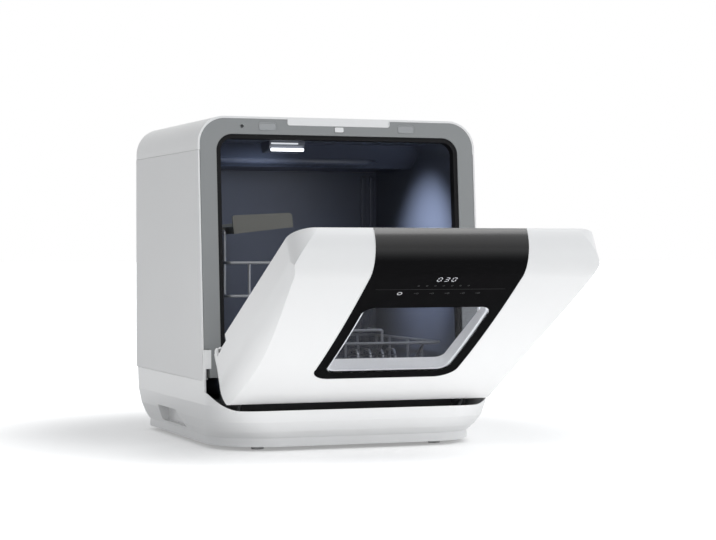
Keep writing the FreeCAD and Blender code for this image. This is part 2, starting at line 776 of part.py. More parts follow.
def make_catch(name, middle):
    """Magnetic catch: an oval pad over a cup, open at the back, that draws one strike plate."""
    body = new_body(name)
    half = s.catch_width / 2
    tall = s.catch_tall / 2
    height = up_front(s.catch_height)
    pad(body, "XZ", 0, s.catch_plate, rounded(middle - half, middle + half, height - tall,
                                              height + tall, 4))
    pad(body, "XZ", s.catch_plate, s.fascia_thick,
        rectangle(middle - half + 2, middle + half - 2, height - tall + 1, height + tall - 1))
    pocket(body, "XZ", s.catch_plate, s.fascia_thick,
           rectangle(middle - half + 4, middle + half - 4, height - tall + 2.2, height + tall - 2.2))
    pocket(body, "XZ", 0, 0.5,
           rounded(middle - half + 3, middle + half - 3, height - tall + 2.5,
                   height + tall - 2.5, 2.5))
    return keep(body, name, LEANING)


def make_door_switch():
    """Small sprung button that feels when the door is shut."""
    body = new_body("door_switch_button")
    middle = up_front(s.switch_height)
    half = s.switch_width / 2
    tall = s.switch_tall / 2
    pad(body, "XZ", -s.switch_proud, s.fascia_thick - 4,
        rounded(-half, half, middle - tall, middle + tall, 1.5))
    return keep(body, "door_switch_button", LEANING)


def make_seal():
    """Black rubber seal just inside the front frame."""
    body = new_body("door_seal")
    gap = s.seal_gap
    wide = s.opening_half_width - gap
    low = up_front(s.opening_low) + gap
    high = up_front(s.opening_high) - gap
    ring = s.seal_width
    radius = s.opening_radius - gap
    pad(body, "XZ", s.seal_sink, s.fascia_thick,
        rounded(-wide, wide, low, high, radius))
    pocket(body, "XZ", s.seal_sink, s.fascia_thick,
           rounded(-wide + ring, wide - ring, low + ring, high - ring, radius - ring))
    return keep(body, "door_seal", LEANING)


# ---------------------------------------------------------------------------
# Tub and washing parts
# ---------------------------------------------------------------------------
def tub_front_at(height):
    """The tub's front edge, behind the front frame."""
    return front_at(height) + s.fascia_thick / lean_cosine + 0.05


def make_tub():
    """Wash tub with a stepped ceiling, a sump hole and a flange behind the seal."""
    wall = s.tub_wall
    wide = s.tub_half_width
    floor = s.tub_floor
    rear = s.tub_rear
    low_front = tub_front_at(floor - wall)
    outer_side = slab("tub_outer_side", "YZ", -wide - wall, wide + wall, polygon([
        (low_front, floor - wall), (rear + wall, floor - wall), (rear + wall, s.ceiling_rear + wall),
        (s.ceiling_step_rear + 1, s.ceiling_rear + wall),
        (s.ceiling_step_front + 1, s.ceiling_front + wall),
        (tub_front_at(s.ceiling_front + wall), s.ceiling_front + wall)]))
    outer_face = slab("tub_outer_face", "XZ", low_front - 20, rear + wall, rounded(
        -wide - wall, wide + wall, floor - wall, s.ceiling_front + wall, s.tub_corner + wall))
    sill = s.opening_low + s.seal_width + 1
    mouth = tub_front_at(sill)
    inner_side = slab("tub_inner_side", "YZ", -wide, wide, polygon([
        (mouth - 30, sill), (mouth + 4, sill), (mouth + 12, floor + 4), (rear, floor),
        (rear, s.ceiling_rear), (s.ceiling_step_rear, s.ceiling_rear),
        (s.ceiling_step_front, s.ceiling_front), (mouth - 10, s.ceiling_front)]))
    inner_face = slab("tub_inner_face", "XZ", mouth - 31, rear + 1, rounded(
        -wide, wide, floor, s.ceiling_front, s.tub_corner))
    flange_low = s.opening_low - 8
    flange_high = s.opening_high + 9
    thick = s.flange_thick
    flange_side = slab("tub_flange_side", "YZ", -s.opening_half_width - s.flange_margin,
                       s.opening_half_width + s.flange_margin, polygon([
                           (tub_front_at(flange_low), flange_low),
                           (tub_front_at(flange_low) + thick, flange_low),
                           (tub_front_at(flange_high) + thick, flange_high),
                           (tub_front_at(flange_high), flange_high)]))
    drain = rod("tub_drain", "Z", s.sump_radius, (0, 0, floor - wall - 5), 20)
    shell = fuse("tub_shell", common("tub_outer", outer_side, outer_face), flange_side)
    hollow = common("tub_hollow", inner_side, inner_face)
    return keep(cut("tub", shell, hollow, drain), "tub")


def make_sump():
    """Bowl bolted under the tub, which feeds both pumps."""
    body = new_body("sump")
    top = s.tub_floor - s.tub_wall
    inner = s.sump_radius
    outer = inner + s.sump_wall
    low = s.sump_bottom
    turn(body, "Revolution", "XZ", "V_Axis", polygon([
        (0, low), (outer - 8, low), (outer, low + 8), (outer, top - 3), (outer + 8, top - 3),
        (outer + 8, top), (inner, top), (inner, low + 10), (inner - 8, low + s.sump_wall),
        (0, low + s.sump_wall)]))
    return keep(body, "sump")


def make_filter_plate():
    """Perforated plate over the sump."""
    body = new_body("filter_plate")
    radius = s.sump_radius - 0.4
    low = s.tub_floor - 2.5
    pad(body, "XY", low, low + 2, circle(0, 0, radius))
    holes = [circle(0, 0, s.post_radius + 0.4), circle(s.filter_cup_x, 0, s.filter_cup_radius + 0.4)]
    for index in range(8):
        angle = math.radians(60 + 240 * index / 7)
        holes.append(circle(44 * math.cos(angle), 44 * math.sin(angle), 4.5))
    pocket(body, "XY", low, low + 2, *holes)
    ledge = s.sump_radius - 6
    pad(body, "XY", s.sump_bottom + 10.2, low, circle(0, 0, radius), circle(0, 0, ledge + 2))
    return keep(body, "filter_plate")


def make_filter_cup():
    """Lift-out cup filter with a finger tab."""
    body = new_body("filter_cup")
    middle = s.filter_cup_x
    radius = s.filter_cup_radius
    low = s.sump_bottom + s.sump_wall + 0.3
    rim = s.tub_floor - 0.3
    pad(body, "XY", low, rim, circle(middle, 0, radius))
    pad(body, "XY", rim, rim + 2, circle(middle, 0, radius + 4))
    pocket(body, "XY", low + 2, rim + 2, circle(middle, 0, radius - 2))
    pad(body, "XY", rim - 1, rim + 8, rectangle(middle - 1.5, middle + 1.5, -radius + 1, radius - 1))
    return keep(body, "filter_cup")


def make_spray_post():
    """Fixed feed tube that the spray arm turns on."""
    body = new_body("spray_post")
    foot = s.sump_bottom + s.sump_wall
    tube = s.post_radius
    neck = s.neck_radius
    turn(body, "Revolution", "XZ", "V_Axis", polygon([
        (0, foot), (tube + 6, foot), (tube + 6, foot + 2), (tube, foot + 5),
        (tube, s.hub_low - 0.3), (neck, s.hub_low - 0.3), (neck, s.hub_high + 0.6),
        (neck - 2, s.hub_high + 3.5), (0, s.hub_high + 3.5)]))
    return keep(body, "spray_post")


def make_spray_nut():
    """Cap nut that keeps the spray arm on its post."""
    body = new_body("spray_nut")
    low = s.hub_high + 0.4
    pad(body, "XY", low, low + 4.2, circle(0, 0, 11))
    pocket(body, "XY", low, low + 4.2, circle(0, 0, s.neck_radius + 0.02))
    return keep(body, "spray_nut")


def make_spray_arm():
    """Hollow-looking arm with two tapered wings, raised jets and a hub."""
    body = new_body("spray_arm")
    root = s.arm_root / 2
    tip = s.arm_tip / 2
    reach = s.arm_reach
    low = s.arm_low
    high = low + s.arm_thick
    for side in (-1, 1):
        far = side * (reach - tip)
        pad(body, "XY", low, high, polygon(
            [(0, -root), (far, -tip), (far, tip), (0, root)] if side > 0 else
            [(0, root), (far, tip), (far, -tip), (0, -root)]))
        pad(body, "XY", low, high, circle(far, 0, tip))
    fillet_edges(body, 3, lambda edge: edge.BoundBox.ZMin > float(high) - 0.01)
    pad(body, "XY", s.hub_low, s.hub_high, circle(0, 0, s.hub_radius))
    jets = []
    for side in (-1, 1):
        for index in range(4):
            jets.append(rectangle(side * (38 + 26 * index) - 5, side * (38 + 26 * index) + 5,
                                  -1.6, 1.6))
    pocket(body, "XY", high - 2.5, high, *jets)
    pocket(body, "XY", s.hub_low, s.hub_high, circle(0, 0, s.neck_radius + s.shaft_gap))
    turned = FreeCAD.Placement(Vector(), FreeCAD.Rotation(Vector(0, 0, 1), 28))
    return keep(body, "spray_arm", turned)


def make_pump(name, y_middle, start, body_length, radius, head_radius):
    """Pump with its motor lying along X on a saddle."""
    body = new_body(name)
    floor = s.base_bottom + s.base_wall
    axis_height = floor + head_radius + 3
    head = 22
    pad(body, "YZ", start, start + head, circle(y_middle, axis_height, head_radius))
    pad(body, "YZ", start + head, start + head + body_length,
        circle(y_middle, axis_height, radius))
    pad(body, "YZ", start + head + body_length, start + head + body_length + 6,
        circle(y_middle, axis_height, radius * 0.6))
    pad(body, "YZ", start + head + 8, start + head + body_length - 8,
        polygon([(y_middle - radius * 0.8, floor), (y_middle + radius * 0.8, floor),
                 (y_middle + radius * 0.5, axis_height), (y_middle - radius * 0.5, axis_height)]))
    pad(body, "XY", axis_height, axis_height + head_radius + 5,
        circle(start + head / 2, y_middle, 8))
    return keep(body, name)


def make_heater():
    """Flow heater on two feet, between the pumps and the sump."""
    floor = float(s.base_bottom + s.base_wall)
    body = new_body("flow_heater")
    radius = 15
    pad(body, "YZ", 20, 140, circle(132, floor + radius + 3, radius))
    for x_foot in (34, 116):
        pad(body, "YZ", x_foot, x_foot + 8, rectangle(122, 142, floor, floor + radius))
    return keep(body, "flow_heater")


TANK = (6 - s.tub_half_width, as_size(-80), front + 48, back - 28)


def make_water_tank():
    """Built-in water tank at the left of the base, with a neck for the fill duct."""
    body = new_body("water_tank")
    floor = s.base_bottom + s.base_wall
    left, right, fore, rear = TANK
    pad(body, "XY", floor, s.tub_floor - s.tub_wall - 3, rounded(left, right, fore, rear, 12))
    pad(body, "XY", floor + 34, s.tub_floor - s.tub_wall - 3,
        rectangle(DUCT_LEFT, left + 2, DUCT_FRONT - 2, DUCT_REAR + 2))
    return keep(body, "water_tank")


DUCT_LEFT = -(s.tub_half_width + 16)
DUCT_RIGHT = -(s.tub_half_width + 5)
DUCT_FRONT = back - 108
DUCT_REAR = back - 68


def make_fill_duct():
    """Funnel under the lid and a flat duct down beside the tub."""
    body = new_body("fill_duct")
    low = s.tub_floor - s.tub_wall - 3
    funnel_low = s.ceiling_rear + s.tub_wall + 18
    funnel_high = s.body_height - 7
    left, right, fore, rear = LID_SPAN
    wall = 1.5
    pad(body, "XY", low, funnel_low, rectangle(DUCT_LEFT, DUCT_RIGHT, DUCT_FRONT, DUCT_REAR))
    collar_low = funnel_high - 14
    pad(body, "XY", funnel_low, collar_low, rectangle(DUCT_LEFT, right + 4, fore - 4, rear + 4))
    pad(body, "XY", collar_low, funnel_high, rectangle(left - 4, right + 4, fore - 4, rear + 4))
    pocket(body, "XY", funnel_low + 3, collar_low - 2,
           rectangle(DUCT_LEFT + wall, right + 2, fore - 2, rear + 2))
    pocket(body, "XY", collar_low - 2, funnel_high,
           rectangle(left - 2, right + 2, fore - 2, rear + 2))
    pocket(body, "XY", low, funnel_low + 3,
           rectangle(DUCT_LEFT + wall, DUCT_RIGHT - wall, DUCT_FRONT + wall, DUCT_REAR - wall))
    return keep(body, "fill_duct")


def make_control_board():
    """Power board with its relay, transformer and capacitor."""
    body = new_body("control_board")
    floor = s.base_bottom + s.base_wall
    edge = half_width - 108
    pad(body, "XY", floor, floor + 4, circle(edge + 8, 50, 3), circle(edge + 68, 50, 3),
        circle(edge + 8, 95, 3), circle(edge + 68, 95, 3))
    pad(body, "XY", floor + 4, floor + 5.6, rectangle(edge, edge + 76, 42, 103))
    pad(body, "XY", floor + 5.6, floor + 27, rectangle(edge + 10, edge + 36, 50, 78))
    pad(body, "XY", floor + 5.6, floor + 21, rectangle(edge + 46, edge + 64, 52, 66))
    pad(body, "XY", floor + 5.6, floor + 30, circle(edge + 56, 86, 7))
    return keep(body, "control_board")


def make_service(name, steps):
    """A turned fitting through the rear panel; steps are radius and rear end pairs."""
    x_place, radius = SERVICES[name]
    body = new_body(name)
    start = back - s.sheet_wall - 12
    low = start
    for step_radius, reach in steps:
        high = back + reach
        pad(body, "XZ", low, high, circle(x_place, SERVICE_HEIGHT, step_radius))
        low = high
    bore = radius - 4
    pocket(body, "XZ", start + 4, low, circle(x_place, SERVICE_HEIGHT, bore))
    return keep(body, name)


def make_rear_screws():
    """Pan-head screws round the rear panel."""
    screws = []
    reach = half_width - s.rim_depth - 8
    for x_place in (-reach, as_size(0), reach):
        for z_place in (s.seam_low + 6, s.seam_high - 6):
            screws.append(rod("screw", "Y", 3.4, (x_place, back, z_place), 2))
    group = doc.addObject("Part::Compound", "rear_screws")
    group.Links = screws
    return keep(group, "rear_screws")


def make_lamp():
    """Lamp under the tub's ceiling."""
    body = new_body("tub_lamp")
    pad(body, "YZ", -88, -35, polygon([
        (-108, s.ceiling_front - 12), (-80, s.ceiling_front - 16), (-72, s.ceiling_front - 10),
        (-72, s.ceiling_front), (-112, s.ceiling_front), (-112, s.ceiling_front - 6)]))
    return keep(body, "tub_lamp")


def make_rack_rail(side):
    """Ledge on the tub's side that the rack slides on."""
    name = "rack_rail_left" if side < 0 else "rack_rail_right"
    near = s.tub_half_width - s.rail_width
    far = s.tub_half_width
    low, high = (near, far) if side > 0 else (-far, -near)
    body = new_body(name)
    fore = s.rack_front + 5
    rear = s.rack_rear + 9
    pad(body, "XY", s.rail_low, s.rail_high, rectangle(low, high, fore, rear))
    pad(body, "XY", s.rail_high, s.rail_high + 5,
        rectangle(high - 2, high, fore, rear) if side > 0 else rectangle(low, low + 2, fore, rear))
    return keep(body, name)


# ---------------------------------------------------------------------------
# Rack of bent wire, and the folding cup shelf
# ---------------------------------------------------------------------------
WIRE_SIDES = 8
WIRE_CORNER = 1 / math.cos(math.pi / WIRE_SIDES)
TINE_SIDES = 4


def wire_section(start, direction, radius, sides=WIRE_SIDES):
    """The wire's flat-sided section, as wide across its flats as the round wire is."""
    across = direction.cross(Vector(0, 0, 1))
    if across.Length < 1e-6:
        across = direction.cross(Vector(1, 0, 0))
    across.normalize()
    upward = across.cross(direction).normalize()
    reach = radius / math.cos(math.pi / sides)
    points = []
    for index in range(sides):
        angle = 2 * math.pi * (index + 0.5) / sides
        points.append(start + across * (reach * math.cos(angle)) + upward * (reach * math.sin(angle)))
    return Part.makePolygon(points + [points[0]])


def bent_wire(points, bend, radius, closed=False, sides=WIRE_SIDES):
    """A wire along straight runs joined by arcs, as one swept solid."""
    count = len(points)
    corners = range(count) if closed else range(1, count - 1)
    arcs = {}
    for index in corners:
        here = points[index]
        before = (points[index - 1] - here).normalize()
        after = (points[(index + 1) % count] - here).normalize()
        half_turn = (math.pi - before.getAngle(after)) / 2
        setback = bend * math.tan(half_turn)
        inward = (before + after).normalize()
        middle = here + inward * (bend / math.cos(half_turn) - bend)
        arcs[index] = (here + before * setback, middle, here + after * setback)
    edges = []
    for index in range(count if closed else count - 1):
        following = (index + 1) % count
        run_start = arcs[index][2] if index in arcs else points[index]
        run_end = arcs[following][0] if following in arcs else points[following]
        edges.append(Part.LineSegment(run_start, run_end).toShape())
        if following in arcs:
            edges.append(Part.Arc(*arcs[following]).toShape())
    begin = edges[0].Vertexes[0].Point
    direction = (edges[0].Vertexes[1].Point - begin).normalize()
    section = wire_section(begin, direction, radius, sides)
    return Part.Wire(edges).makePipeShell([section], True, False)


def straight_wire(start, end, radius, sides=WIRE_SIDES):
    """A straight wire from start to end."""
    direction = (end - start).normalize()
    return Part.Face(wire_section(start, direction, radius, sides)).extrude(end - start)


def make_rack():
    """Coated wire rack: a floor grid, leaning sides, plate tines and the shelf's hinge frame."""
    wide = float(s.rack_half_width)
    fore = float(s.rack_front)
    rear = float(s.rack_rear)
    floor_fore = float(s.rack_floor_front)
    floor_rear = float(s.rack_floor_rear)
    floor = float(s.rack_floor)
    rail = float(s.rack_rail)
    lip = float(s.rack_lip)
    middle_rail = float(s.rack_mid_rail)
    top_rail = float(s.rack_top_rail)
    wire = float(s.wire_radius)
    tine = float(s.tine_radius)
    corner = float(s.rack_corner)
    pieces = []

    def loop(height, near, far):
        ring = [Vector(-wide, near, height), Vector(wide, near, height),
                Vector(wide, far, height), Vector(-wide, far, height)]
        pieces.append(bent_wire(ring, corner, wire, closed=True))

    def straight(start, end, radius):
        sides = TINE_SIDES if radius == tine else WIRE_SIDES
        pieces.append(straight_wire(Vector(*start), Vector(*end), radius, sides))

    loop(floor, floor_fore, floor_rear)
    loop(rail, fore, rear)
    cross_level = floor - wire - tine
    long_level = floor - wire + tine
    tine_front = float(s.tine_front)
    tine_rear = float(s.tine_rear)
    for y_place in (floor_fore + 22, tine_front, tine_rear, tine_rear + 40, tine_rear + 80,
                    tine_rear + 120):
        straight((-wide, y_place, cross_level), (wide, y_place, cross_level), tine)
    for index in range(8):
        x_place = -wide + 2 * wide * (index + 0.5) / 8
        straight((x_place, floor_fore + wire, long_level), (x_place, floor_rear - wire, long_level), tine)
    bay_right = 68 - wide
    lip_end = wide - 93
    for height in (middle_rail, top_rail):
        bay = [Vector(bay_right, fore, height), Vector(-wide, fore, height),
               Vector(-wide, rear, height), Vector(bay_right, rear, height)]
        pieces.append(bent_wire(bay, 8, wire))
    inner = wide - 2 * wire
    for y_place in (floor_fore + 20, -30, 46, floor_rear - 20):
        straight((-inner, y_place, floor), (-inner, y_place, top_rail), wire)
        straight((inner, y_place, floor), (inner, y_place, rail), wire)
    for x_place, high in ((-wide + 2 * corner, top_rail), (bay_right, top_rail), (0, lip),
                          (lip_end, lip), (wide - corner - 12, rail)):
        for near, edge, inward in ((floor_fore, fore, 1), (floor_rear, rear, -1)):
            straight((x_place, near + inward * 2 * wire, floor),
                     (x_place, edge + inward * 2 * wire, rail), wire)
            if high > rail:
                straight((x_place, edge + inward * 2 * wire, rail),
                         (x_place, edge + inward * 2 * wire, high), wire)
    lip_wire = [Vector(-wide, fore, lip), Vector(lip_end, fore, lip),
                Vector(lip_end, fore + 60, lip)]
    pieces.append(bent_wire(lip_wire, 10, wire))
    pitch = float(s.tine_pitch)
    for index in range(int((2 * wide - 86) / pitch + 1.001)):
        x_place = 53 - wide + pitch * index
        high = floor + (43 if x_place < lip_end else 21)
        foot = cross_level + tine
        arch = [Vector(x_place, tine_front, foot), Vector(x_place, tine_front, high),
                Vector(x_place, tine_rear, high), Vector(x_place, tine_rear, foot)]
        pieces.append(bent_wire(arch, 12, tine, sides=TINE_SIDES))
    hinge = float(s.shelf_hinge_height)
    hinge_x = -inner
    hinge_wire = [Vector(hinge_x, fore + 32, middle_rail), Vector(hinge_x, fore + 32, hinge),
                  Vector(hinge_x, rear - 32, hinge), Vector(hinge_x, rear - 32, middle_rail)]
    pieces.append(bent_wire(hinge_wire, 7, wire))
    rack = doc.addObject("Part::Feature", "rack")
    rack.Shape = Part.makeCompound(pieces)
    return keep(rack, "rack")


def make_rack_shoes():
    """Four slide shoes clipped under the rack's floor loop."""
    shoes = []
    low = s.rail_high + s.rail_gap
    high = s.rack_floor - s.wire_radius
    for side in (-1, 1):
        for y_place in (s.rack_floor_front + 30, s.rack_floor_rear - 40):
            middle = side * s.rack_half_width
            shoes.append(block("shoe", (middle - 3, middle + 3), (y_place, y_place + 18), (low, high)))
    group = doc.addObject("Part::Compound", "rack_shoes")
    group.Links = shoes
    return keep(group, "rack_shoes")


def make_cup_shelf():
    """Slatted cup shelf that folds up about the rack's hinge wire."""
    body = new_body("cup_shelf")
    reach = s.shelf_reach
    fore = s.shelf_front
    rear = s.shelf_rear
    rim = s.shelf_rim
    inner = 5.5
    fence = s.shelf_fence
    pad(body, "XY", -rim / 2, rim / 2, rectangle(inner, reach, fore, rear))
    pocket(body, "XY", -rim / 2 + 3, rim / 2, rectangle(inner + 3, reach - 3, fore + 3, rear - 3))
    slots = []
    count = 8
    span = (rear - fore - 20) / count
    for index in range(count):
        y_low = fore + 12 + span * index
        slots.append(rectangle(inner + 10, reach - 10, y_low, y_low + span - 8))
    pocket(body, "XY", -rim / 2, -rim / 2 + 3, *slots)
    pad(body, "XZ", fore, fore + 3, polygon([
        (inner, -rim / 2), (inner, fence - 2), (inner + 3, fence), (reach - 4, fence - 5),
        (reach, fence - 8), (reach, -rim / 2)]))
    for y_clip in (fore + 40, rear - 28):
        pad(body, "XZ", y_clip, y_clip + 16, circle(0, 0, 5))
        pad(body, "XZ", y_clip, y_clip + 16, rectangle(0, inner + 1, -5, 3))
    pocket(body, "XZ", fore + 38, rear - 10, circle(0, 0, s.wire_radius * WIRE_CORNER + s.pin_gap))
    hinge_x = 2 * s.wire_radius - s.rack_half_width
    place = FreeCAD.Placement(Vector(float(hinge_x), 0, float(s.shelf_hinge_height)),
                              FreeCAD.Rotation(Vector(0, 1, 0), -float(s.shelf_tilt)))
    return keep(body, "cup_shelf", place)


# ---------------------------------------------------------------------------
# Door, built upright about its hinge pin and then leaned open
# ---------------------------------------------------------------------------
def round_side(sketch, start, end, middle, radius=None, passing=None):
    """An arc from start through middle, held by its radius or by a point that it passes."""
    index = sketch.addGeometry(Part.Arc(at(*start), at(*middle), at(*end)), False)
    if radius is not None:
        held = sketch.addConstraint(
            Sketcher.Constraint("Radius", index, float(as_size(radius))))
        sketch.setExpression(f"Constraints[{held}]", as_size(radius).text)
    if passing is not None:
        mark = sketch.addGeometry(Part.Point(at(*passing)), True)
        hold(sketch, mark, START, *passing)
        sketch.addConstraint(Sketcher.Constraint("PointOnObject", mark, START, index))
    return index


def door_side(inset, reach_back):
    """Side outline of the door: nose, bulged face, rounded foot, round tail, tapered back."""
    top = s.door_top - inset
    nose = s.nose_radius - inset
    nose_z = s.door_top - s.nose_radius
    foot = s.door_foot_radius - inset
    foot_y = s.door_face_y + s.door_foot_radius
    foot_z = s.door_foot_z
    tail = s.tail_radius - inset
    start_angle = math.radians(float(s.tail_start))
    end_angle = math.acos(float(door_inner) / float(s.tail_radius)) - taper
    close = -(s.tail_radius * math.sin(end_angle)) + (0.5 if reach_back else 0)
    half = math.sqrt(0.5)
    middle_angle = (start_angle + end_angle) / 2

    def on_tail(angle):
        return tail * math.cos(angle), -(tail * math.sin(angle))

    def draw(sketch):
        corners = [
            (inner_face_at(top, reach_back), top),
            (s.nose_y, top),
            (s.nose_y - nose, nose_z),
            (foot_y - foot, foot_z),
            (foot_y, foot_z - foot),
            on_tail(start_angle),
            on_tail(end_angle),
        ]
        if reach_back:
            corners.append((inner_face_at(close, reach_back), close))
        bulge = (s.door_bulge_y + inset, s.door_bulge_z)
        rounds = {
            1: ((s.nose_y - nose * half, nose_z + nose * half), nose, None),
            2: (bulge, None, bulge),
            3: ((foot_y - foot * half, foot_z - foot * half), foot, None),
            5: (on_tail(middle_angle), tail, None),
        }
        sides = []
        count = len(corners)
        for index in range(count):
            here = corners[index]
            there = corners[(index + 1) % count]
            if index in rounds:
                middle, radius, passing = rounds[index]
                sides.append(round_side(sketch, here, there, middle, radius, passing))
            else:
                sides.append(sketch.addGeometry(Part.LineSegment(at(*here), at(*there)), False))
        for index in range(count):
            sketch.addConstraint(Sketcher.Constraint(
                "Coincident", sides[index], end_of(sketch, sides[index], corners[(index + 1) % count]),
                sides[(index + 1) % count],
                end_of(sketch, sides[(index + 1) % count], corners[(index + 1) % count])))
        for index, corner in enumerate(corners):
            hold(sketch, sides[index], end_of(sketch, sides[index], corner), *corner)
    return draw


def end_of(sketch, index, corner):
    """Which end of a piece of a sketch lies on the corner: arcs may run either way."""
    point = at(*corner)
    if sketch.getPoint(index, START).distanceToPoint(point) < 0.001:
        return START
    return END


def door_form(name, inset, reach_back):
    """The door's outer form pulled in by inset: one side outline shared with two fronts.

    The front that shows has its own low corners; the tail behind it dips into the base,
    so its corners follow the base's curve.
    """
    wide = s.door_half_width - inset
    tail_wide = s.door_half_width - s.tail_side_inset - inset
    back_face = door_inner + reach_back
    top = s.door_top - inset
    side = slab(name + "_side", "YZ", -wide, wide, door_side(inset, reach_back))
    show_plan = slab(name + "_show_plan", "XY", -70, s.door_top + 20, rounded(
        -wide, wide, s.door_bulge_y - 3 + inset, back_face + 5, s.door_edge_radius - inset, 1))
    show_face = slab(name + "_show_face", "XZ", -70, 90, rounded(
        -wide, wide, inset + s.door_foot_z - s.door_foot_radius, top,
        s.door_low_corner - inset, s.door_top_corner - inset))
    tail_plan = slab(name + "_tail_plan", "XY", -70, 40, rounded(
        -tail_wide, tail_wide, inset + 1, back_face + 5, s.tail_plan_radius - inset, 1))
    tail_face = slab(name + "_tail_face", "XZ", -70, 90, rounded(
        -tail_wide, tail_wide, inset - s.tail_drop, 60, s.tail_corner - inset, 1))
    shown = common(name + "_shown", show_plan, show_face)
    tail = common(name + "_tail", tail_plan, tail_face)
    return common(name, side, fuse(name + "_outline", shown, tail))


def make_door():
    """All the pieces that swing with the door."""
    wall = s.door_wall
    gap = s.fit_gap
    band = s.band_half_width
    outer = door_form("door_outer_form", as_size(0), 0)
    inner = door_form("door_inner_form", wall, 8)
    skin = cut("door_skin", outer, inner)

    def band_block(name, spare):
        return slab(name, "XZ", -25, s.band_back + spare, rounded(
            -band - spare, band + spare, s.band_low - spare, s.door_top + 20,
            s.band_corner + spare, 1))

    def window_block(name, spare):
        wide = s.window_half_width + spare
        return slab(name, "XZ", -25, 20, rounded(
            -wide, wide, s.window_low - spare, s.window_high + spare, s.window_corner + spare))

    slots = []
    for side in (-1, 1):
        middle = side * s.hinge_x
        half_slot = s.hinge_slot / 2
        slots.append(block("hinge_slot", (middle - half_slot, middle + half_slot), (-6.8, 70), (-60, 13)))
    shell_notches = []
    liner_notches = []
    for side in (-1, 1):
        near = half_width - s.ear_width - 0.6
        low, high = (near, half_width) if side > 0 else (-half_width, -near)
        shell_notches.append(block("ear_notch", (low, high), (50, 70), (20, 67)))
        liner_notches.append(block("ear_notch", (low, high), (52.9, 70), (21, 65)))
    pane = s.pane_half_width
    curl = s.tail_radius * math.cos(math.radians(float(s.pane_curl)))
    curl_inner = curl * (s.tail_radius - s.pane_thick) / s.tail_radius
    pane_gap = block("pane_gap", (-pane - 0.2, pane + 0.2), (curl_inner - 0.4, 75),
                     (-curl - 0.4, 30))
    shell = cut("door_shell", skin, band_block("band_gap", gap), pane_gap, *slots,
                *shell_notches)
    keep(shell, "door_shell", DOOR_PLACE)

    band_skin = common("band_skin", skin, band_block("band_solid", as_size(0)))
    keep(cut("control_panel", band_skin, window_block("window_hole", as_size(0))),
         "control_panel", DOOR_PLACE)
    keep(common("window_glass", skin, window_block("glass_solid", -gap)), "window_glass", DOOR_PLACE)

    behind = door_form("door_behind_form", wall + gap, 8)
    frame_back = s.door_face_y + wall + s.frame_depth
    outer_spare = s.frame_width - s.frame_seat
    ring_wide = s.window_half_width + outer_spare
    ring = slab("window_ring", "XZ", -20, frame_back - 3, rounded(
        -ring_wide, ring_wide, s.window_low - outer_spare, s.window_high + outer_spare,
        s.window_corner + outer_spare))
    hole_wide = s.window_half_width - s.frame_seat
    hole = slab("window_ring_hole", "XZ", -25, frame_back + 5, rounded(
        -hole_wide, hole_wide, s.window_low + s.frame_seat, s.window_high - s.frame_seat,
        s.window_corner - s.frame_seat))
    keep(cut("window_frame", common("window_ring_trimmed", ring, behind), hole),
         "window_frame", DOOR_PLACE)

    keep(cut("door_liner", make_liner(), *slots, *liner_notches), "door_liner", INNER_PLACE)
    keep(make_inner_window(), "inner_window", INNER_PLACE)

    plate = slab("board_plate", "XZ", 12, 13.6, rectangle(-62, 62, 290, 334))
    posts = [rod("board_post", "Y", 3, (x_post, -20, z_post), 32.5)
             for x_post in (-56, 56) for z_post in (296, 328)]
    keep(common("display_board", fuse("board_all", plate, *posts), behind),
         "display_board", DOOR_PLACE)

    for side, name in ((-1, "left"), (1, "right")):
        make_hinge_block(side, name)
        make_hinge_pin(side, name)
    make_brake_pads()
    make_latch_hooks()


def inner_top():
    """The height of the door's top edge, measured up its tapered inner face."""
    return s.door_top * math.cos(taper) - inner_face_at(s.door_top) * math.sin(taper)


def make_liner():
    """Pale inner face of the door, with an open window bay and a deep rim."""
    wall = s.door_wall
    reach = s.door_half_width - wall - s.fit_gap
    face_back = door_inner
    face_front = face_back - wall
    low = -8
    top = inner_top() - wall - s.fit_gap
    plate = slab("liner_plate", "XZ", face_front, face_back, rounded(
        -reach, reach, low, top, 26, s.door_top_corner - wall - s.fit_gap))
    bay = slab("liner_bay", "XZ", face_front - 1, face_back + 1, rectangle(
        -s.pane_half_width - 0.2, s.pane_half_width + 0.2, low - 5, s.pane_high + 0.2))
    rib_wide = s.tub_half_width - 9
    rib_low = up_front(s.opening_low) + 30
    rib = slab("liner_rib", "XZ", face_front - 8, face_front, rectangle(
        -rib_wide, rib_wide, s.pane_high + 3, s.pane_high + 6))
    return cut("liner_open", fuse("liner_all", plate, rib), bay)


def make_inner_window():
    """Clear inner pane that curls round the door's tail."""
    thick = s.pane_thick
    outer = float(s.tail_radius)
    inner = outer - float(thick)
    face = float(door_inner)
    high = float(s.pane_high)
    start = math.asin(math.sqrt(max(0.0, 1 - (face / outer) ** 2)))
    inner_start = math.acos(min(1.0, (face - float(thick)) / inner))
    end = math.radians(float(s.pane_curl))

    wide = float(s.pane_half_width)

    def on_tail(radius, angle):
        return Vector(-wide, radius * math.cos(angle), -radius * math.sin(angle))

    outside = [on_tail(outer, a) for a in (start, (start + end) / 2, end)]
    inside = [on_tail(inner, a) for a in (inner_start, (inner_start + end) / 2, end)]
    top_out = Vector(-wide, face, high)
    top_in = Vector(-wide, face - float(thick), high)
    outline = Part.Wire([
        Part.LineSegment(top_out, outside[0]).toShape(),
        Part.Arc(*outside).toShape(),
        Part.LineSegment(outside[2], inside[2]).toShape(),
        Part.Arc(*inside).toShape(),
        Part.LineSegment(inside[0], top_in).toShape(),
        Part.LineSegment(top_in, top_out).toShape(),
    ])
    solid = Part.Face(outline).extrude(Vector(2 * wide, 0, 0))
    pane = doc.addObject("Part::Feature", "inner_window")
    pane.Shape = solid
    return pane


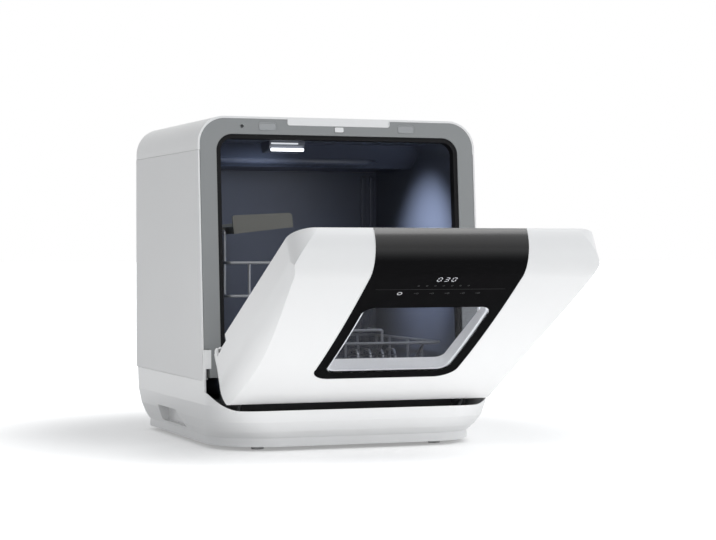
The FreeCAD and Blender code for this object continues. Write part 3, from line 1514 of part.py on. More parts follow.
def make_hinge_block(side, name):
    """Moulded block with two cheeks that the hinge pin passes through."""
    body = new_body("hinge_block_" + name)
    middle = side * s.hinge_x
    half = s.hinge_slot / 2 + s.cheek_width
    pad(body, "YZ", middle - half, middle + half,
        rectangle(-5.5, door_inner - s.door_wall, -6, 22))
    half_slot = s.hinge_slot / 2
    pocket(body, "YZ", middle - half_slot, middle + half_slot,
           rectangle(-10, 70, -20, 13))
    pocket(body, "YZ", middle - half, middle + half, circle(0, 0, s.pin_radius + s.pin_gap))
    return keep(body, "hinge_block_" + name, INNER_PLACE)


def make_hinge_pin(side, name):
    """Steel pin fixed in the door and turning in the hinge arm."""
    middle = side * s.hinge_x
    half = s.hinge_slot / 2 + s.cheek_width - 2
    pin = rod("hinge_pin_" + name, "X", s.pin_radius, (middle - half, s.pivot_y, s.pivot_z), half * 2)
    return keep(pin, "hinge_pin_" + name)


def make_brake_pads():
    """Friction discs each side of the hinge arms."""
    pads = []
    for side in (-1, 1):
        middle = side * s.hinge_x
        for face in (side,):
            gap = 0.15
            start = middle + face * (s.arm_plate / 2 + gap)
            length = s.hinge_slot / 2 - s.arm_plate / 2 - 2 * gap
            low = start if face > 0 else start - length
            disc = rod("brake_disc", "X", s.lug_radius - 0.3, (low, s.pivot_y, s.pivot_z), length)
            hole = rod("brake_hole", "X", s.pin_radius + s.pin_gap,
                       (low - 1, s.pivot_y, s.pivot_z), length + 2)
            pads.append(cut("brake_pad", disc, hole))
    group = doc.addObject("Part::Compound", "hinge_brake_pads")
    group.Links = pads
    return keep(group, "hinge_brake_pads")


def make_hinge_arm(side):
    """Steel hinge arm that stands in the base and carries the door's pin."""
    name = "hinge_arm_left" if side < 0 else "hinge_arm_right"
    middle = side * s.hinge_x
    half = s.arm_plate / 2
    floor = s.base_bottom + s.base_wall
    band = s.lug_radius - 0.5
    foot_front = front + 4
    foot_rear = front + 34
    under_tub = front + s.fascia_thick - 4
    tub_under = s.tub_floor - s.tub_wall
    body = new_body(name)
    pad(body, "YZ", middle - half, middle + half, circle(s.pivot_y, s.pivot_z, s.lug_radius))
    pad(body, "YZ", middle - half, middle + half, polygon([
        (s.pivot_y, s.pivot_z - band), (s.pivot_y + 26, s.pivot_z - band),
        (front - 18, s.arm_heel), (foot_front, s.arm_heel), (foot_front, floor),
        (foot_rear, floor), (foot_rear, s.arm_heel), (under_tub, tub_under - 4),
        (under_tub, s.pivot_z + band), (s.pivot_y, s.pivot_z + band)]))
    flange_low, flange_high = (middle + half, middle + half + 14) if side < 0 else (
        middle - half - 14, middle - half)
    pad(body, "YZ", flange_low, flange_high, rectangle(foot_front, foot_rear, floor, floor + 3))
    pocket(body, "YZ", middle - half, middle + half,
           circle(s.pivot_y, s.pivot_z, s.pin_radius + s.pin_gap))
    return keep(body, name)


def make_latch_hooks():
    """Two low strike plates on the door's inner face, which the catches draw when it shuts."""
    hooks = []
    top = inner_top() - s.door_wall - s.fit_gap - 1
    for middle in (s.catch_left_x, s.catch_right_x):
        plate = block("hook_plate", (middle - 9, middle + 9),
                      (door_inner, door_inner + 0.8), (top - 12, top - 1))
        lip = block("hook_lip", (middle - 7, middle + 7),
                    (door_inner, door_inner + 1.2), (top - 3, top - 1))
        hooks.append(fuse("latch_hook", plate, lip))
    group = doc.addObject("Part::Compound", "latch_hooks")
    group.Links = hooks
    return keep(group, "latch_hooks", INNER_PLACE)


# ---------------------------------------------------------------------------
# The whole machine
# ---------------------------------------------------------------------------
make_base_tray()
make_feet()
make_front_well()
make_side_panel(-1)
make_side_panel(1)
make_rear_panel()
make_top_cover()
make_fill_lid()
make_fascia()
make_catch("catch_left", s.catch_left_x)
make_catch("catch_right", s.catch_right_x)
make_door_switch()
make_seal()
make_tub()
make_sump()
make_filter_plate()
make_filter_cup()
make_spray_post()
make_spray_nut()
make_spray_arm()
make_pump("wash_pump", -95, 20, 84, 24, 26)
make_pump("drain_pump", 84, 22, 40, 15, 19)
make_heater()
make_water_tank()
make_fill_duct()
make_control_board()
make_service("water_inlet", [(13, 0), (17, 3), (13, 14)])
make_service("drain_outlet", [(9, 0), (13, 3), (9, 16)])
make_service("power_gland", [(9, 0), (13, 4), (9, 10)])
make_rear_screws()
make_lamp()
make_rack_rail(-1)
make_rack_rail(1)
make_rack()
make_rack_shoes()
make_cup_shelf()
make_hinge_arm(-1)
make_hinge_arm(1)
make_door()

doc.recompute()

for thing in doc.Objects:
    if "Invalid" in thing.State or "Error" in thing.State:
        raise RuntimeError(f"{thing.Label} did not build: {thing.State}")
os.makedirs("parts", exist_ok=True)
for node in NODES:
    shape = node.Shape
    if shape.isNull() or not shape.isValid() or not shape.Solids:
        raise RuntimeError(f"{node.Label} has no valid solid")
    shape.exportStep(f"parts/{node.Label}.step")
    print(f"{node.Label}: {len(shape.Solids)} solid, {shape.Volume / 1000:.1f} cm3")
print(len(NODES), "sub-parts written")
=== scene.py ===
# %% [markdown]
# # A countertop dishwasher with its window door half open
# The solid model comes in as a fixed frame, in metres, with the floor at z = 0 and the door
# facing -Y. This lesson gives every solid its finish, adds the small things that the solid
# model leaves out, and sets up a plain studio.

# %% Load the frame
import json
import math
import bmesh
import bpy
from mathutils import Matrix, Vector
from mathutils.bvhtree import BVHTree


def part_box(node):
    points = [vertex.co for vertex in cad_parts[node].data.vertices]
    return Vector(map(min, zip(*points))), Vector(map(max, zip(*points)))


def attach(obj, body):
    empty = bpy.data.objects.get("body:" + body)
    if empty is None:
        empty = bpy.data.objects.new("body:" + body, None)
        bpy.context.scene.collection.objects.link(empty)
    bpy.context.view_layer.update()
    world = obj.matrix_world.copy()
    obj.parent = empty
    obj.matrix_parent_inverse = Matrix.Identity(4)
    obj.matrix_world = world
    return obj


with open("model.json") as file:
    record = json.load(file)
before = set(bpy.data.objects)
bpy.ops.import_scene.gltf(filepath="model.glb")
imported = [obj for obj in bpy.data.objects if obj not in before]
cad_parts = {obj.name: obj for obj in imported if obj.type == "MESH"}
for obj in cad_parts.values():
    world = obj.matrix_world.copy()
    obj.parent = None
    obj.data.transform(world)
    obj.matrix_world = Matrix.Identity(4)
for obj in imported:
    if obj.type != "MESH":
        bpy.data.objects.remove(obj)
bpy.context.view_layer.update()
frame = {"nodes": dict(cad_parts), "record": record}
nodes = frame["nodes"]

# %% [markdown]
# ## The camera
# The picture was taken from the left, a little above the height of the door, with a long
# lens. A long lens seen from three metres keeps the verticals almost parallel, so the
# camera gets the focal length and the place that were measured for that view.

# %% Camera
FOCAL_MM = 99.25
FILM_MM = 36.0
CAMERA_PLACE = (-0.965, -2.816, 0.277)
CAMERA_DIP = 0.58
CAMERA_TURN = 20.53
camera_data = bpy.data.cameras.new("studio_camera")
camera_data.lens = FOCAL_MM
camera_data.sensor_width = FILM_MM
camera = bpy.data.objects.new("studio_camera", camera_data)
bpy.context.scene.collection.objects.link(camera)
camera.location = CAMERA_PLACE
camera.rotation_euler = (math.radians(90 - CAMERA_DIP), 0.0, math.radians(-CAMERA_TURN))
bpy.context.scene.camera = camera
print("camera", tuple(camera.location), "lens", camera_data.lens)

# %% [markdown]
# ## Studio light
# A white product shot has its light from a wide white wall in front and to the right, so the
# front is nearly white and the left side falls to a soft grey. The world makes that wall:
# its strength grows towards one direction. A softbox high in front gives the black band its
# highlight. The door hangs forward and looks at the table, so a reflector that lies on the
# table sends light up under it, as a white card does in a studio. Camera, mirror and glass
# rays see the world as plain white.

# %% World and lamps
scene = bpy.context.scene
scene.view_settings.view_transform = "Standard"
ROOM_BACK = 0.42
ROOM_FRONT = 1.24
WALL_DIRECTION = (0.60, -0.78, -0.18)
WALL_EDGE = 0.8


def background_rays(node_tree):
    """A socket that is 1 for camera, glossy and transmission rays, and 0 for the rest."""
    path = node_tree.nodes.new("ShaderNodeLightPath")
    seen = path.outputs["Is Camera Ray"]
    for title in ("Is Glossy Ray", "Is Transmission Ray"):
        either = node_tree.nodes.new("ShaderNodeMath")
        either.operation = "MAXIMUM"
        node_tree.links.new(seen, either.inputs[0])
        node_tree.links.new(path.outputs[title], either.inputs[1])
        seen = either.outputs[0]
    return seen


world = bpy.data.worlds.new("studio_world")
scene.world = world
world.use_nodes = True
tree = world.node_tree
tree.nodes.clear()
world_out = tree.nodes.new("ShaderNodeOutputWorld")
world_mix = tree.nodes.new("ShaderNodeMixShader")
room = tree.nodes.new("ShaderNodeBackground")
room.inputs["Color"].default_value = (0.96, 0.98, 1.0, 1)
room_place = tree.nodes.new("ShaderNodeTexCoord")
room_side = tree.nodes.new("ShaderNodeVectorMath")
room_side.operation = "DOT_PRODUCT"
room_side.inputs[1].default_value = WALL_DIRECTION
room_fade = tree.nodes.new("ShaderNodeMapRange")
room_fade.interpolation_type = "SMOOTHSTEP"
room_fade.inputs["From Min"].default_value = 0.0
room_fade.inputs["From Max"].default_value = WALL_EDGE
room_fade.inputs["To Min"].default_value = ROOM_BACK
room_fade.inputs["To Max"].default_value = ROOM_FRONT
tree.links.new(room_place.outputs["Generated"], room_side.inputs[0])
tree.links.new(room_side.outputs["Value"], room_fade.inputs["Value"])
tree.links.new(room_fade.outputs["Result"], room.inputs["Strength"])
white = tree.nodes.new("ShaderNodeBackground")
white.inputs["Color"].default_value = (1, 1, 1, 1)
white.inputs["Strength"].default_value = 1.0
tree.links.new(background_rays(tree), world_mix.inputs["Fac"])
tree.links.new(room.outputs[0], world_mix.inputs[1])
tree.links.new(white.outputs[0], world_mix.inputs[2])
tree.links.new(world_mix.outputs[0], world_out.inputs["Surface"])


def hang(name, lamp_data, place, aim):
    """Put a lamp at place so that it shines towards aim."""
    lamp = bpy.data.objects.new(name, lamp_data)
    scene.collection.objects.link(lamp)
    lamp.location = place
    lamp.rotation_euler = (Vector(aim) - Vector(place)).to_track_quat("-Z", "Y").to_euler()
    return lamp


def softbox(name, place, aim, width, height, watts):
    """A rectangular area lamp at place that shines towards aim."""
    lamp_data = bpy.data.lights.new(name, "AREA")
    lamp_data.shape = "RECTANGLE"
    lamp_data.size = width
    lamp_data.size_y = height
    lamp_data.energy = watts
    return hang(name, lamp_data, place, aim)


def spot(name, place, aim, degrees, softness, colour, watts):
    """A soft-edged spot lamp that leaves no reflection of itself."""
    lamp_data = bpy.data.lights.new(name, "SPOT")
    lamp_data.energy = watts
    lamp_data.spot_size = math.radians(degrees)
    lamp_data.spot_blend = 1.0
    lamp_data.shadow_soft_size = softness
    lamp_data.color = colour
    lamp = hang(name, lamp_data, place, aim)
    lamp.visible_glossy = False
    return lamp


softbox("key_softbox", (0.80, -1.80, 2.25), (0, -0.45, 0.3), 1.3, 0.9, 12)
card = softbox("low_reflector", (0.05, -0.52, 0.012), (0.05, -0.52, 1.0), 1.2, 0.5, 1.2)
card.visible_camera = False
card.visible_glossy = False
print("room", ROOM_BACK, "to", ROOM_FRONT, "with a softbox and a low reflector")

# %% [markdown]
# ## Floor
# A white table top that runs far past the picture. To the camera it shows a little white of
# its own, more of it with distance, so it joins the background with no horizon while the
# soft shadow round the base stays.

# %% Floor
FLOOR_REACH = 40.0
GLOW_STARTS = 0.30
GLOW_FULL = 0.75
NEAR_GLOW = 0.28
TABLE_WHITE = (0.88, 0.88, 0.88, 1)
floor_mesh = bpy.data.meshes.new("studio_floor")
work = bmesh.new()
bmesh.ops.create_grid(work, x_segments=1, y_segments=1, size=FLOOR_REACH)
work.to_mesh(floor_mesh)
work.free()
floor = bpy.data.objects.new("studio_floor", floor_mesh)
scene.collection.objects.link(floor)
floor_material = bpy.data.materials.new("white_table")
floor_material.use_nodes = True
tree = floor_material.node_tree
tree.nodes.clear()
floor_out = tree.nodes.new("ShaderNodeOutputMaterial")
floor_diffuse = tree.nodes.new("ShaderNodeBsdfDiffuse")
floor_diffuse.inputs["Color"].default_value = TABLE_WHITE
floor_glow = tree.nodes.new("ShaderNodeEmission")
floor_glow.inputs["Color"].default_value = (1, 1, 1, 1)
floor_add = tree.nodes.new("ShaderNodeAddShader")
floor_place = tree.nodes.new("ShaderNodeTexCoord")
floor_range = tree.nodes.new("ShaderNodeVectorMath")
floor_range.operation = "LENGTH"
tree.links.new(floor_place.outputs["Object"], floor_range.inputs[0])
floor_fade = tree.nodes.new("ShaderNodeMapRange")
floor_fade.interpolation_type = "SMOOTHSTEP"
floor_fade.inputs["From Min"].default_value = GLOW_STARTS
floor_fade.inputs["From Max"].default_value = GLOW_FULL
floor_fade.inputs["To Min"].default_value = NEAR_GLOW
floor_fade.inputs["To Max"].default_value = 1.0
tree.links.new(floor_range.outputs["Value"], floor_fade.inputs["Value"])
floor_gain = tree.nodes.new("ShaderNodeMath")
floor_gain.operation = "MULTIPLY"
tree.links.new(background_rays(tree), floor_gain.inputs[0])
tree.links.new(floor_fade.outputs["Result"], floor_gain.inputs[1])
tree.links.new(floor_gain.outputs[0], floor_glow.inputs["Strength"])
tree.links.new(floor_diffuse.outputs[0], floor_add.inputs[0])
tree.links.new(floor_glow.outputs[0], floor_add.inputs[1])
tree.links.new(floor_add.outputs[0], floor_out.inputs["Surface"])
floor_mesh.materials.append(floor_material)
print("floor glow from", NEAR_GLOW, "near to 1.0 at", GLOW_FULL, "m")

# %% [markdown]
# ## Shared surface effects
# Moulded plastic is never quite even: its gloss drifts a little and very fine ripples break
# up the reflections. One node group makes both from noise on Object coordinates, and each
# material gives it its own scale and strength.

# %% Uneven gloss group
def new_group(name, inputs, outputs):
    """A shader node group with float inputs (name, default) and named outputs."""
    group = bpy.data.node_groups.new(name, "ShaderNodeTree")
    for title, default in inputs:
        socket = group.interface.new_socket(title, in_out="INPUT", socket_type="NodeSocketFloat")
        socket.default_value = default
    for title in outputs:
        group.interface.new_socket(title, in_out="OUTPUT", socket_type="NodeSocketFloat")
    return group, group.nodes.new("NodeGroupInput"), group.nodes.new("NodeGroupOutput")


uneven, given, result = new_group(
    "uneven_gloss", [("Drift scale", 6.0), ("Ripple scale", 900.0), ("Low", 0.2), ("High", 0.3)],
    ["Roughness", "Height"])
place = uneven.nodes.new("ShaderNodeTexCoord")
drift = uneven.nodes.new("ShaderNodeTexNoise")
drift.inputs["Detail"].default_value = 4.0
ripple = uneven.nodes.new("ShaderNodeTexNoise")
ripple.inputs["Detail"].default_value = 2.0
spread = uneven.nodes.new("ShaderNodeMapRange")
uneven.links.new(place.outputs["Object"], drift.inputs["Vector"])
uneven.links.new(place.outputs["Object"], ripple.inputs["Vector"])
uneven.links.new(given.outputs["Drift scale"], drift.inputs["Scale"])
uneven.links.new(given.outputs["Ripple scale"], ripple.inputs["Scale"])
uneven.links.new(drift.outputs["Fac"], spread.inputs["Value"])
uneven.links.new(given.outputs["Low"], spread.inputs["To Min"])
uneven.links.new(given.outputs["High"], spread.inputs["To Max"])
uneven.links.new(spread.outputs["Result"], result.inputs["Roughness"])
uneven.links.new(ripple.outputs["Fac"], result.inputs["Height"])
print("group", uneven.name)


# %% [markdown]
# ## A finish
# Every opaque finish is a Principled shader whose roughness and bump come from the group.

# %% A finish made from the group
RIPPLE_DEPTH = 0.0005


def finish(name, colour, low, high, ripple_scale=900.0, bump=0.02, metallic=0.0, specular=0.5):
    """A Principled material with uneven gloss and a fine ripple."""
    material = bpy.data.materials.new(name)
    material.use_nodes = True
    nodes_in = material.node_tree.nodes
    links = material.node_tree.links
    shader = nodes_in["Principled BSDF"]
    shader.inputs["Base Color"].default_value = (*colour, 1)
    shader.inputs["Metallic"].default_value = metallic
    shader.inputs["Specular IOR Level"].default_value = specular
    effect = nodes_in.new("ShaderNodeGroup")
    effect.node_tree = uneven
    effect.inputs["Ripple scale"].default_value = ripple_scale
    effect.inputs["Low"].default_value = low
    effect.inputs["High"].default_value = high
    relief = nodes_in.new("ShaderNodeBump")
    relief.inputs["Strength"].default_value = bump
    relief.inputs["Distance"].default_value = RIPPLE_DEPTH
    links.new(effect.outputs["Roughness"], shader.inputs["Roughness"])
    links.new(effect.outputs["Height"], relief.inputs["Height"])
    links.new(relief.outputs["Normal"], shader.inputs["Normal"])
    return material


# %% [markdown]
# ## Finishes
# Each moulded colour of the machine is one material: white gloss for the door, base and
# cover, a satin paint for the sheet sides, grey for the front frame, and a dark blue-grey
# moulding for the tub. The rack's wires have a black coating, but their finish is a pale,
# half metallic grey: a painted highlight, so that they show bright against the dark tub.

# %% Finishes
finishes = {
    "white_gloss": finish("white_gloss", (0.82, 0.82, 0.82), 0.26, 0.34, bump=0.01),
    "white_paint": finish("white_paint", (0.80, 0.80, 0.80), 0.36, 0.46, 1500.0, 0.03),
    "frame_grey": finish("frame_grey", (0.262, 0.272, 0.275), 0.38, 0.50, 1800.0, 0.05),
    "pale_grey": finish("pale_grey", (0.35, 0.36, 0.37), 0.35, 0.48),
    "dark_moulding": finish("dark_moulding", (0.030, 0.031, 0.034), 0.40, 0.55, 1500.0, 0.06),
    "rubber": finish("rubber", (0.008, 0.008, 0.009), 0.60, 0.75, 1200.0, 0.06, specular=0.15),
    "foot_rubber": finish("foot_rubber", (0.72, 0.72, 0.72), 0.6, 0.75, 1200.0, 0.08),
    "tub_lining": finish("tub_lining", (0.078, 0.089, 0.122), 0.30, 0.42, 700.0, 0.004),
    "steel": finish("steel", (0.58, 0.59, 0.60), 0.25, 0.38, 700.0, 0.03, 1.0),
    "pump_alloy": finish("pump_alloy", (0.42, 0.43, 0.44), 0.40, 0.52, 900.0, 0.08, 1.0),
    "board_green": finish("board_green", (0.02, 0.12, 0.05), 0.35, 0.5),
    "lamp_body": finish("lamp_body", (0.10, 0.11, 0.14), 0.25, 0.35),
    # The wires' pale grey is a painted highlight over what is a black coating.
    "wire_coat_painted_sheen": finish("wire_coat_painted_sheen", (0.34, 0.35, 0.37), 0.24, 0.36, 1400.0, 0.04, 0.6),
    "shelf_grey": finish("shelf_grey", (0.105, 0.105, 0.095), 0.40, 0.52, 1400.0, 0.04),
    "reveal": finish("reveal", (0.90, 0.90, 0.89), 0.25, 0.35),
}

# %% [markdown]
# ## Clear panes
# The window has an outer and an inner pane. Real glass at this steep angle would mirror the
# bright table. These panes are coated acrylic, which hardly mirrors, so a low index of
# refraction stands for the coating and the inside stays visible.

# %% Clear panes
clear = bpy.data.materials.new("clear_pane")
clear.use_nodes = True
pane_shader = clear.node_tree.nodes["Principled BSDF"]
pane_shader.inputs["Base Color"].default_value = (0.84, 0.85, 0.88, 1)
pane_shader.inputs["Roughness"].default_value = 0.0
pane_shader.inputs["Transmission Weight"].default_value = 1.0
pane_shader.inputs["IOR"].default_value = 1.06
finishes["clear_pane"] = clear

# %% [markdown]
# ## Where the band shines
# The black band is deep black on its face and shines only where it rolls over the top. The
# roll lies above a certain height while the door rests half open, and Object coordinates
# keep that rest place when the door moves. A small group turns the height into a mask, so
# the clear coat can fade in with it.

# %% Door axes and the height mask
DOOR_LEAN = math.radians(61.5)
hinge = next(joint for joint in frame["record"]["behaviour"]["joints"]
             if joint["name"] == "door_hinge")
HINGE = Vector(hinge["pos_m"])
DOOR_UP = Vector((0, -math.sin(DOOR_LEAN), math.cos(DOOR_LEAN)))
DOOR_BACK = Vector((0, math.cos(DOOR_LEAN), math.sin(DOOR_LEAN)))


def on_door(x, back, up):
    """A point given along the door's own axes, from the hinge."""
    return HINGE + Vector((x, 0, 0)) + DOOR_BACK * back + DOOR_UP * up


rise, given, result = new_group("height_mask", [("From", 0.0), ("To", 1.0)], ["Mask"])
place = rise.nodes.new("ShaderNodeTexCoord")
parts = rise.nodes.new("ShaderNodeSeparateXYZ")
fade = rise.nodes.new("ShaderNodeMapRange")
fade.interpolation_type = "SMOOTHSTEP"
rise.links.new(place.outputs["Object"], parts.inputs["Vector"])
rise.links.new(parts.outputs["Z"], fade.inputs["Value"])
rise.links.new(given.outputs["From"], fade.inputs["From Min"])
rise.links.new(given.outputs["To"], fade.inputs["From Max"])
rise.links.new(fade.outputs["Result"], result.inputs["Mask"])
print("hinge at", tuple(HINGE), "group", rise.name)

# %% [markdown]
# ## The band
# Deep black with a clear coat. The coat is thick enough to shine only above the foot of the
# roll, and it is full at the top of it.

# %% Band black
ROLL_FOOT = 0.262
ROLL_TOP = 0.302
FACE_COAT = 0.03
COAT_ROUGHNESS = 0.22
COAT_IOR = 1.75
band = finish("band_black", (0.0035, 0.0035, 0.0040), 0.10, 0.16, 60.0, 0.005, specular=0.0)
band_shader = band.node_tree.nodes["Principled BSDF"]
band_shader.inputs["Coat Roughness"].default_value = COAT_ROUGHNESS
band_shader.inputs["Coat IOR"].default_value = COAT_IOR
roll = band.node_tree.nodes.new("ShaderNodeGroup")
roll.node_tree = rise
roll.inputs["From"].default_value = ROLL_FOOT
roll.inputs["To"].default_value = ROLL_TOP
coat_range = band.node_tree.nodes.new("ShaderNodeMapRange")
coat_range.inputs["To Min"].default_value = FACE_COAT
coat_range.inputs["To Max"].default_value = 1.0
band.node_tree.links.new(roll.outputs["Mask"], coat_range.inputs["Value"])
band.node_tree.links.new(coat_range.outputs["Result"], band_shader.inputs["Coat Weight"])
finishes["band_black"] = band

# %% [markdown]
# ## Finish each solid
# The record names a slot for every solid, and each slot takes one of the finishes.

# %% Finish each solid
SLOT_FINISH = {
    "white_plastic": "white_gloss", "white_paint": "white_paint", "grey_plastic": "frame_grey",
    "pale_grey_plastic": "pale_grey", "dark_plastic": "dark_moulding", "black_rubber": "rubber",
    "foot_rubber": "foot_rubber", "tub_lining": "tub_lining", "bright_steel": "steel",
    "pump_metal": "pump_alloy", "board_green": "board_green", "lamp_white": "lamp_body",
    "black_coating": "wire_coat_painted_sheen", "shelf_plastic": "shelf_grey", "black_gloss": "band_black",
    "frame_plastic": "reveal", "clear_glass": "clear_pane",
}
for part in frame["record"]["subparts"]:
    solid = nodes[part["node"]]
    look = finishes[SLOT_FINISH[part["material_slot"]]]
    if not solid.data.materials:
        solid.data.materials.append(look)
    for held in solid.material_slots:
        held.material = look
print("finishes:", len(finishes))

# %% [markdown]
# ## Small lights and prints
# The display, the touch marks and the lamp's lens give off light of their own. A glowing
# finish is a dark plastic with an emission colour, so it has the same gloss as its
# surroundings and still reads in a dark place.

# %% Glowing finishes
def glowing(name, colour, strength):
    """A finish that shines with one colour."""
    material = finish(name, (0.02, 0.02, 0.02), 0.3, 0.4, specular=0.1)
    shader = material.node_tree.nodes["Principled BSDF"]
    shader.inputs["Emission Color"].default_value = (*colour, 1)
    shader.inputs["Emission Strength"].default_value = strength
    return material


digit_light = glowing("digit_light", (0.90, 0.93, 1.0), 0.85)
ring_light = glowing("ring_light", (0.85, 0.87, 0.90), 0.85)
dim_print = glowing("dim_print", (0.60, 0.62, 0.66), 0.009)
lens_light = glowing("lens_light", (0.93, 0.96, 1.0), 2.5)
strip_light = glowing("strip_light", (0.90, 0.94, 1.0), 0.8)

print("glowing finishes: digits, ring, print, lens, strip")

# %% [markdown]
# ## Making a piece
# Four helpers serve the pieces below: one turns a bmesh into a piece that rides on a body,
# two start a bmesh with a round-edged bar or a round-cornered plate, and one draws a tube.

# %% Making a piece
def piece(name, work, material, body):
    """Turn a bmesh in world metres into a finished piece on one body."""
    mesh = bpy.data.meshes.new(name)
    bmesh.ops.recalc_face_normals(work, faces=work.faces)
    work.to_mesh(mesh)
    work.free()
    made = bpy.data.objects.new(name, mesh)
    scene.collection.objects.link(made)
    mesh.materials.append(material)
    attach(made, body)
    return made


def round_bar(size, centre, rounding, segments):
    """A bmesh that holds a bar with rounded edges."""
    work = bmesh.new()
    made = bmesh.ops.create_cube(work, size=1.0)["verts"]
    bmesh.ops.scale(work, verts=made, vec=size)
    bmesh.ops.bevel(work, geom=work.edges[:], offset=rounding, segments=segments, profile=0.5,
                    affect="EDGES", material=-1)
    bmesh.ops.translate(work, verts=work.verts[:], vec=centre)
    return work


def round_plate(width, thick, height, rounding, segments):
    """A bmesh that holds a plate with rounded corners, facing -Y."""
    work = bmesh.new()
    made = bmesh.ops.create_cube(work, size=1.0)["verts"]
    bmesh.ops.scale(work, verts=made, vec=(width, thick, height))
    upright = [edge for edge in work.edges
               if abs(edge.verts[0].co.y - edge.verts[1].co.y) > thick / 2]
    bmesh.ops.bevel(work, geom=upright, offset=rounding, segments=segments, profile=0.5,
                    affect="EDGES", material=-1)
    return work


def tube(name, points, radius, resolution, body):
    """A white tube through the points, on one body."""
    curve = bpy.data.curves.new(name + "_line", "CURVE")
    curve.dimensions = "3D"
    line = curve.splines.new("POLY")
    line.points.add(len(points) - 1)
    for spot_on_line, point in zip(line.points, points):
        spot_on_line.co = (*point, 1)
    curve.bevel_depth = radius
    curve.bevel_resolution = resolution
    made = bpy.data.objects.new(name, curve)
    scene.collection.objects.link(made)
    curve.materials.append(finishes["white_gloss"])
    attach(made, body)
    print(name, len(points), "points")


# %% [markdown]
# ## Prints on the band
# The display and touch marks lie on the curved face of the black band. Each mark is drawn
# flat, as a small plate in the door's own axes, and is then dropped onto the band: a ray
# from in front of the door finds the face, and the mark lies a tenth of a millimetre over it.

# %% Find the band's face
band_solid = nodes["control_panel"]
band_tree = BVHTree.FromObject(band_solid, bpy.context.evaluated_depsgraph_get())
PRINT_LIFT = 0.00012
IN_FRONT = -0.2


def band_point(x, up):
    """The point of the band's face at x and a height up the door, lifted a little."""
    hit, _, _, _ = band_tree.ray_cast(on_door(x, IN_FRONT, up), DOOR_BACK)
    return hit - DOOR_BACK * PRINT_LIFT


def lay_on_band(work, x, up):
    """Move a flat mark, drawn about the origin in X and Y, to its place on the band."""
    for vert in work.verts:
        vert.co = band_point(x + vert.co.x, up + vert.co.y)


print("band face at", band_point(0, 0.30))

# %% [markdown]
# ## Seven-segment digits
# A digit is seven bars. Each bar is a flat plate with pointed ends, which is a six-sided
# circle pulled long, and a table says which bars a digit lights.

# %% Digits
DIGIT_HEIGHT = 0.0085
DIGIT_WIDTH = 0.0048
DIGIT_PITCH = 0.0098
DIGIT_SLANT = 0.12
BAR_THICK = 0.0011
BAR_FILL = 0.92
DISPLAY_X = 0.0015
DISPLAY_UP = 0.3387
BARS = {
    "top": (0, 1, False), "middle": (0, 0, False), "bottom": (0, -1, False),
    "upper_left": (-1, 0.5, True), "upper_right": (1, 0.5, True),
    "lower_left": (-1, -0.5, True), "lower_right": (1, -0.5, True),
}
LIT = {
    "0": ["top", "bottom", "upper_left", "upper_right", "lower_left", "lower_right"],
    "3": ["top", "middle", "bottom", "upper_right", "lower_right"],
}


def add_bar(work, middle_x, middle_y, length, upright):
    """Add one lit bar."""
    made = bmesh.ops.create_circle(work, cap_ends=True, segments=6, radius=0.5)
    sides = (BAR_THICK, length) if upright else (length, BAR_THICK)
    if upright:
        bmesh.ops.rotate(work, verts=made["verts"], cent=(0, 0, 0),
                         matrix=Matrix.Rotation(math.radians(90), 3, "Z"))
    bmesh.ops.scale(work, verts=made["verts"], vec=(sides[0], sides[1], 1))
    bmesh.ops.translate(work, verts=made["verts"],
                        vec=(middle_x + DIGIT_SLANT * middle_y, middle_y, 0))


shown = bmesh.new()
for place_in_row, figure in enumerate("030"):
    centre = (place_in_row - 1) * DIGIT_PITCH
    for bar in LIT[figure]:
        across, along_height, upright = BARS[bar]
        reach = DIGIT_HEIGHT / 2 if upright else DIGIT_WIDTH
        add_bar(shown, centre + across * DIGIT_WIDTH / 2, along_height * DIGIT_HEIGHT / 2,
                reach * BAR_FILL, upright)
lay_on_band(shown, DISPLAY_X, DISPLAY_UP)
piece("display_digits", shown, digit_light, "door")
print("display digits 030")

# %% [markdown]
# ## Touch marks
# Under the display is a row of small programme marks, then a fine line, then the touch
# keys: a bright ring for power and five dim marks. They are plain rings, dots and dashes.

# %% Marks
def add_ring(work, x, y, radius, thick):
    """Add a flat ring."""
    outer = bmesh.ops.create_circle(work, segments=24, radius=radius + thick / 2)["verts"]
    inner = bmesh.ops.create_circle(work, segments=24, radius=radius - thick / 2)["verts"]
    edges = {edge for vert in outer + inner for edge in vert.link_edges}
    bmesh.ops.bridge_loops(work, edges=list(edges))
    bmesh.ops.translate(work, verts=outer + inner, vec=(x, y, 0))


def add_dash(work, x, y, width, height):
    """Add a flat dash."""
    made = bmesh.ops.create_grid(work, x_segments=4, y_segments=1, size=0.5)["verts"]
    bmesh.ops.scale(work, verts=made, vec=(width, height, 1))
    bmesh.ops.translate(work, verts=made, vec=(x, y, 0))


POWER_X = -0.052
POWER_RADIUS = 0.0028
KEY_UP = 0.3075
KEY_START = -0.030
KEY_PITCH = 0.021
LINE_UP = 0.3167
LINE_LONG = 0.176
LINE_THICK = 0.0005
MARK_UP = 0.3247
MARK_START = -0.032
MARK_PITCH = 0.0113
MARK_STROKE = 0.0007
power = bmesh.new()
add_ring(power, 0, 0, POWER_RADIUS, 0.0010)
lay_on_band(power, POWER_X, KEY_UP)
piece("power_ring", power, ring_light, "door")

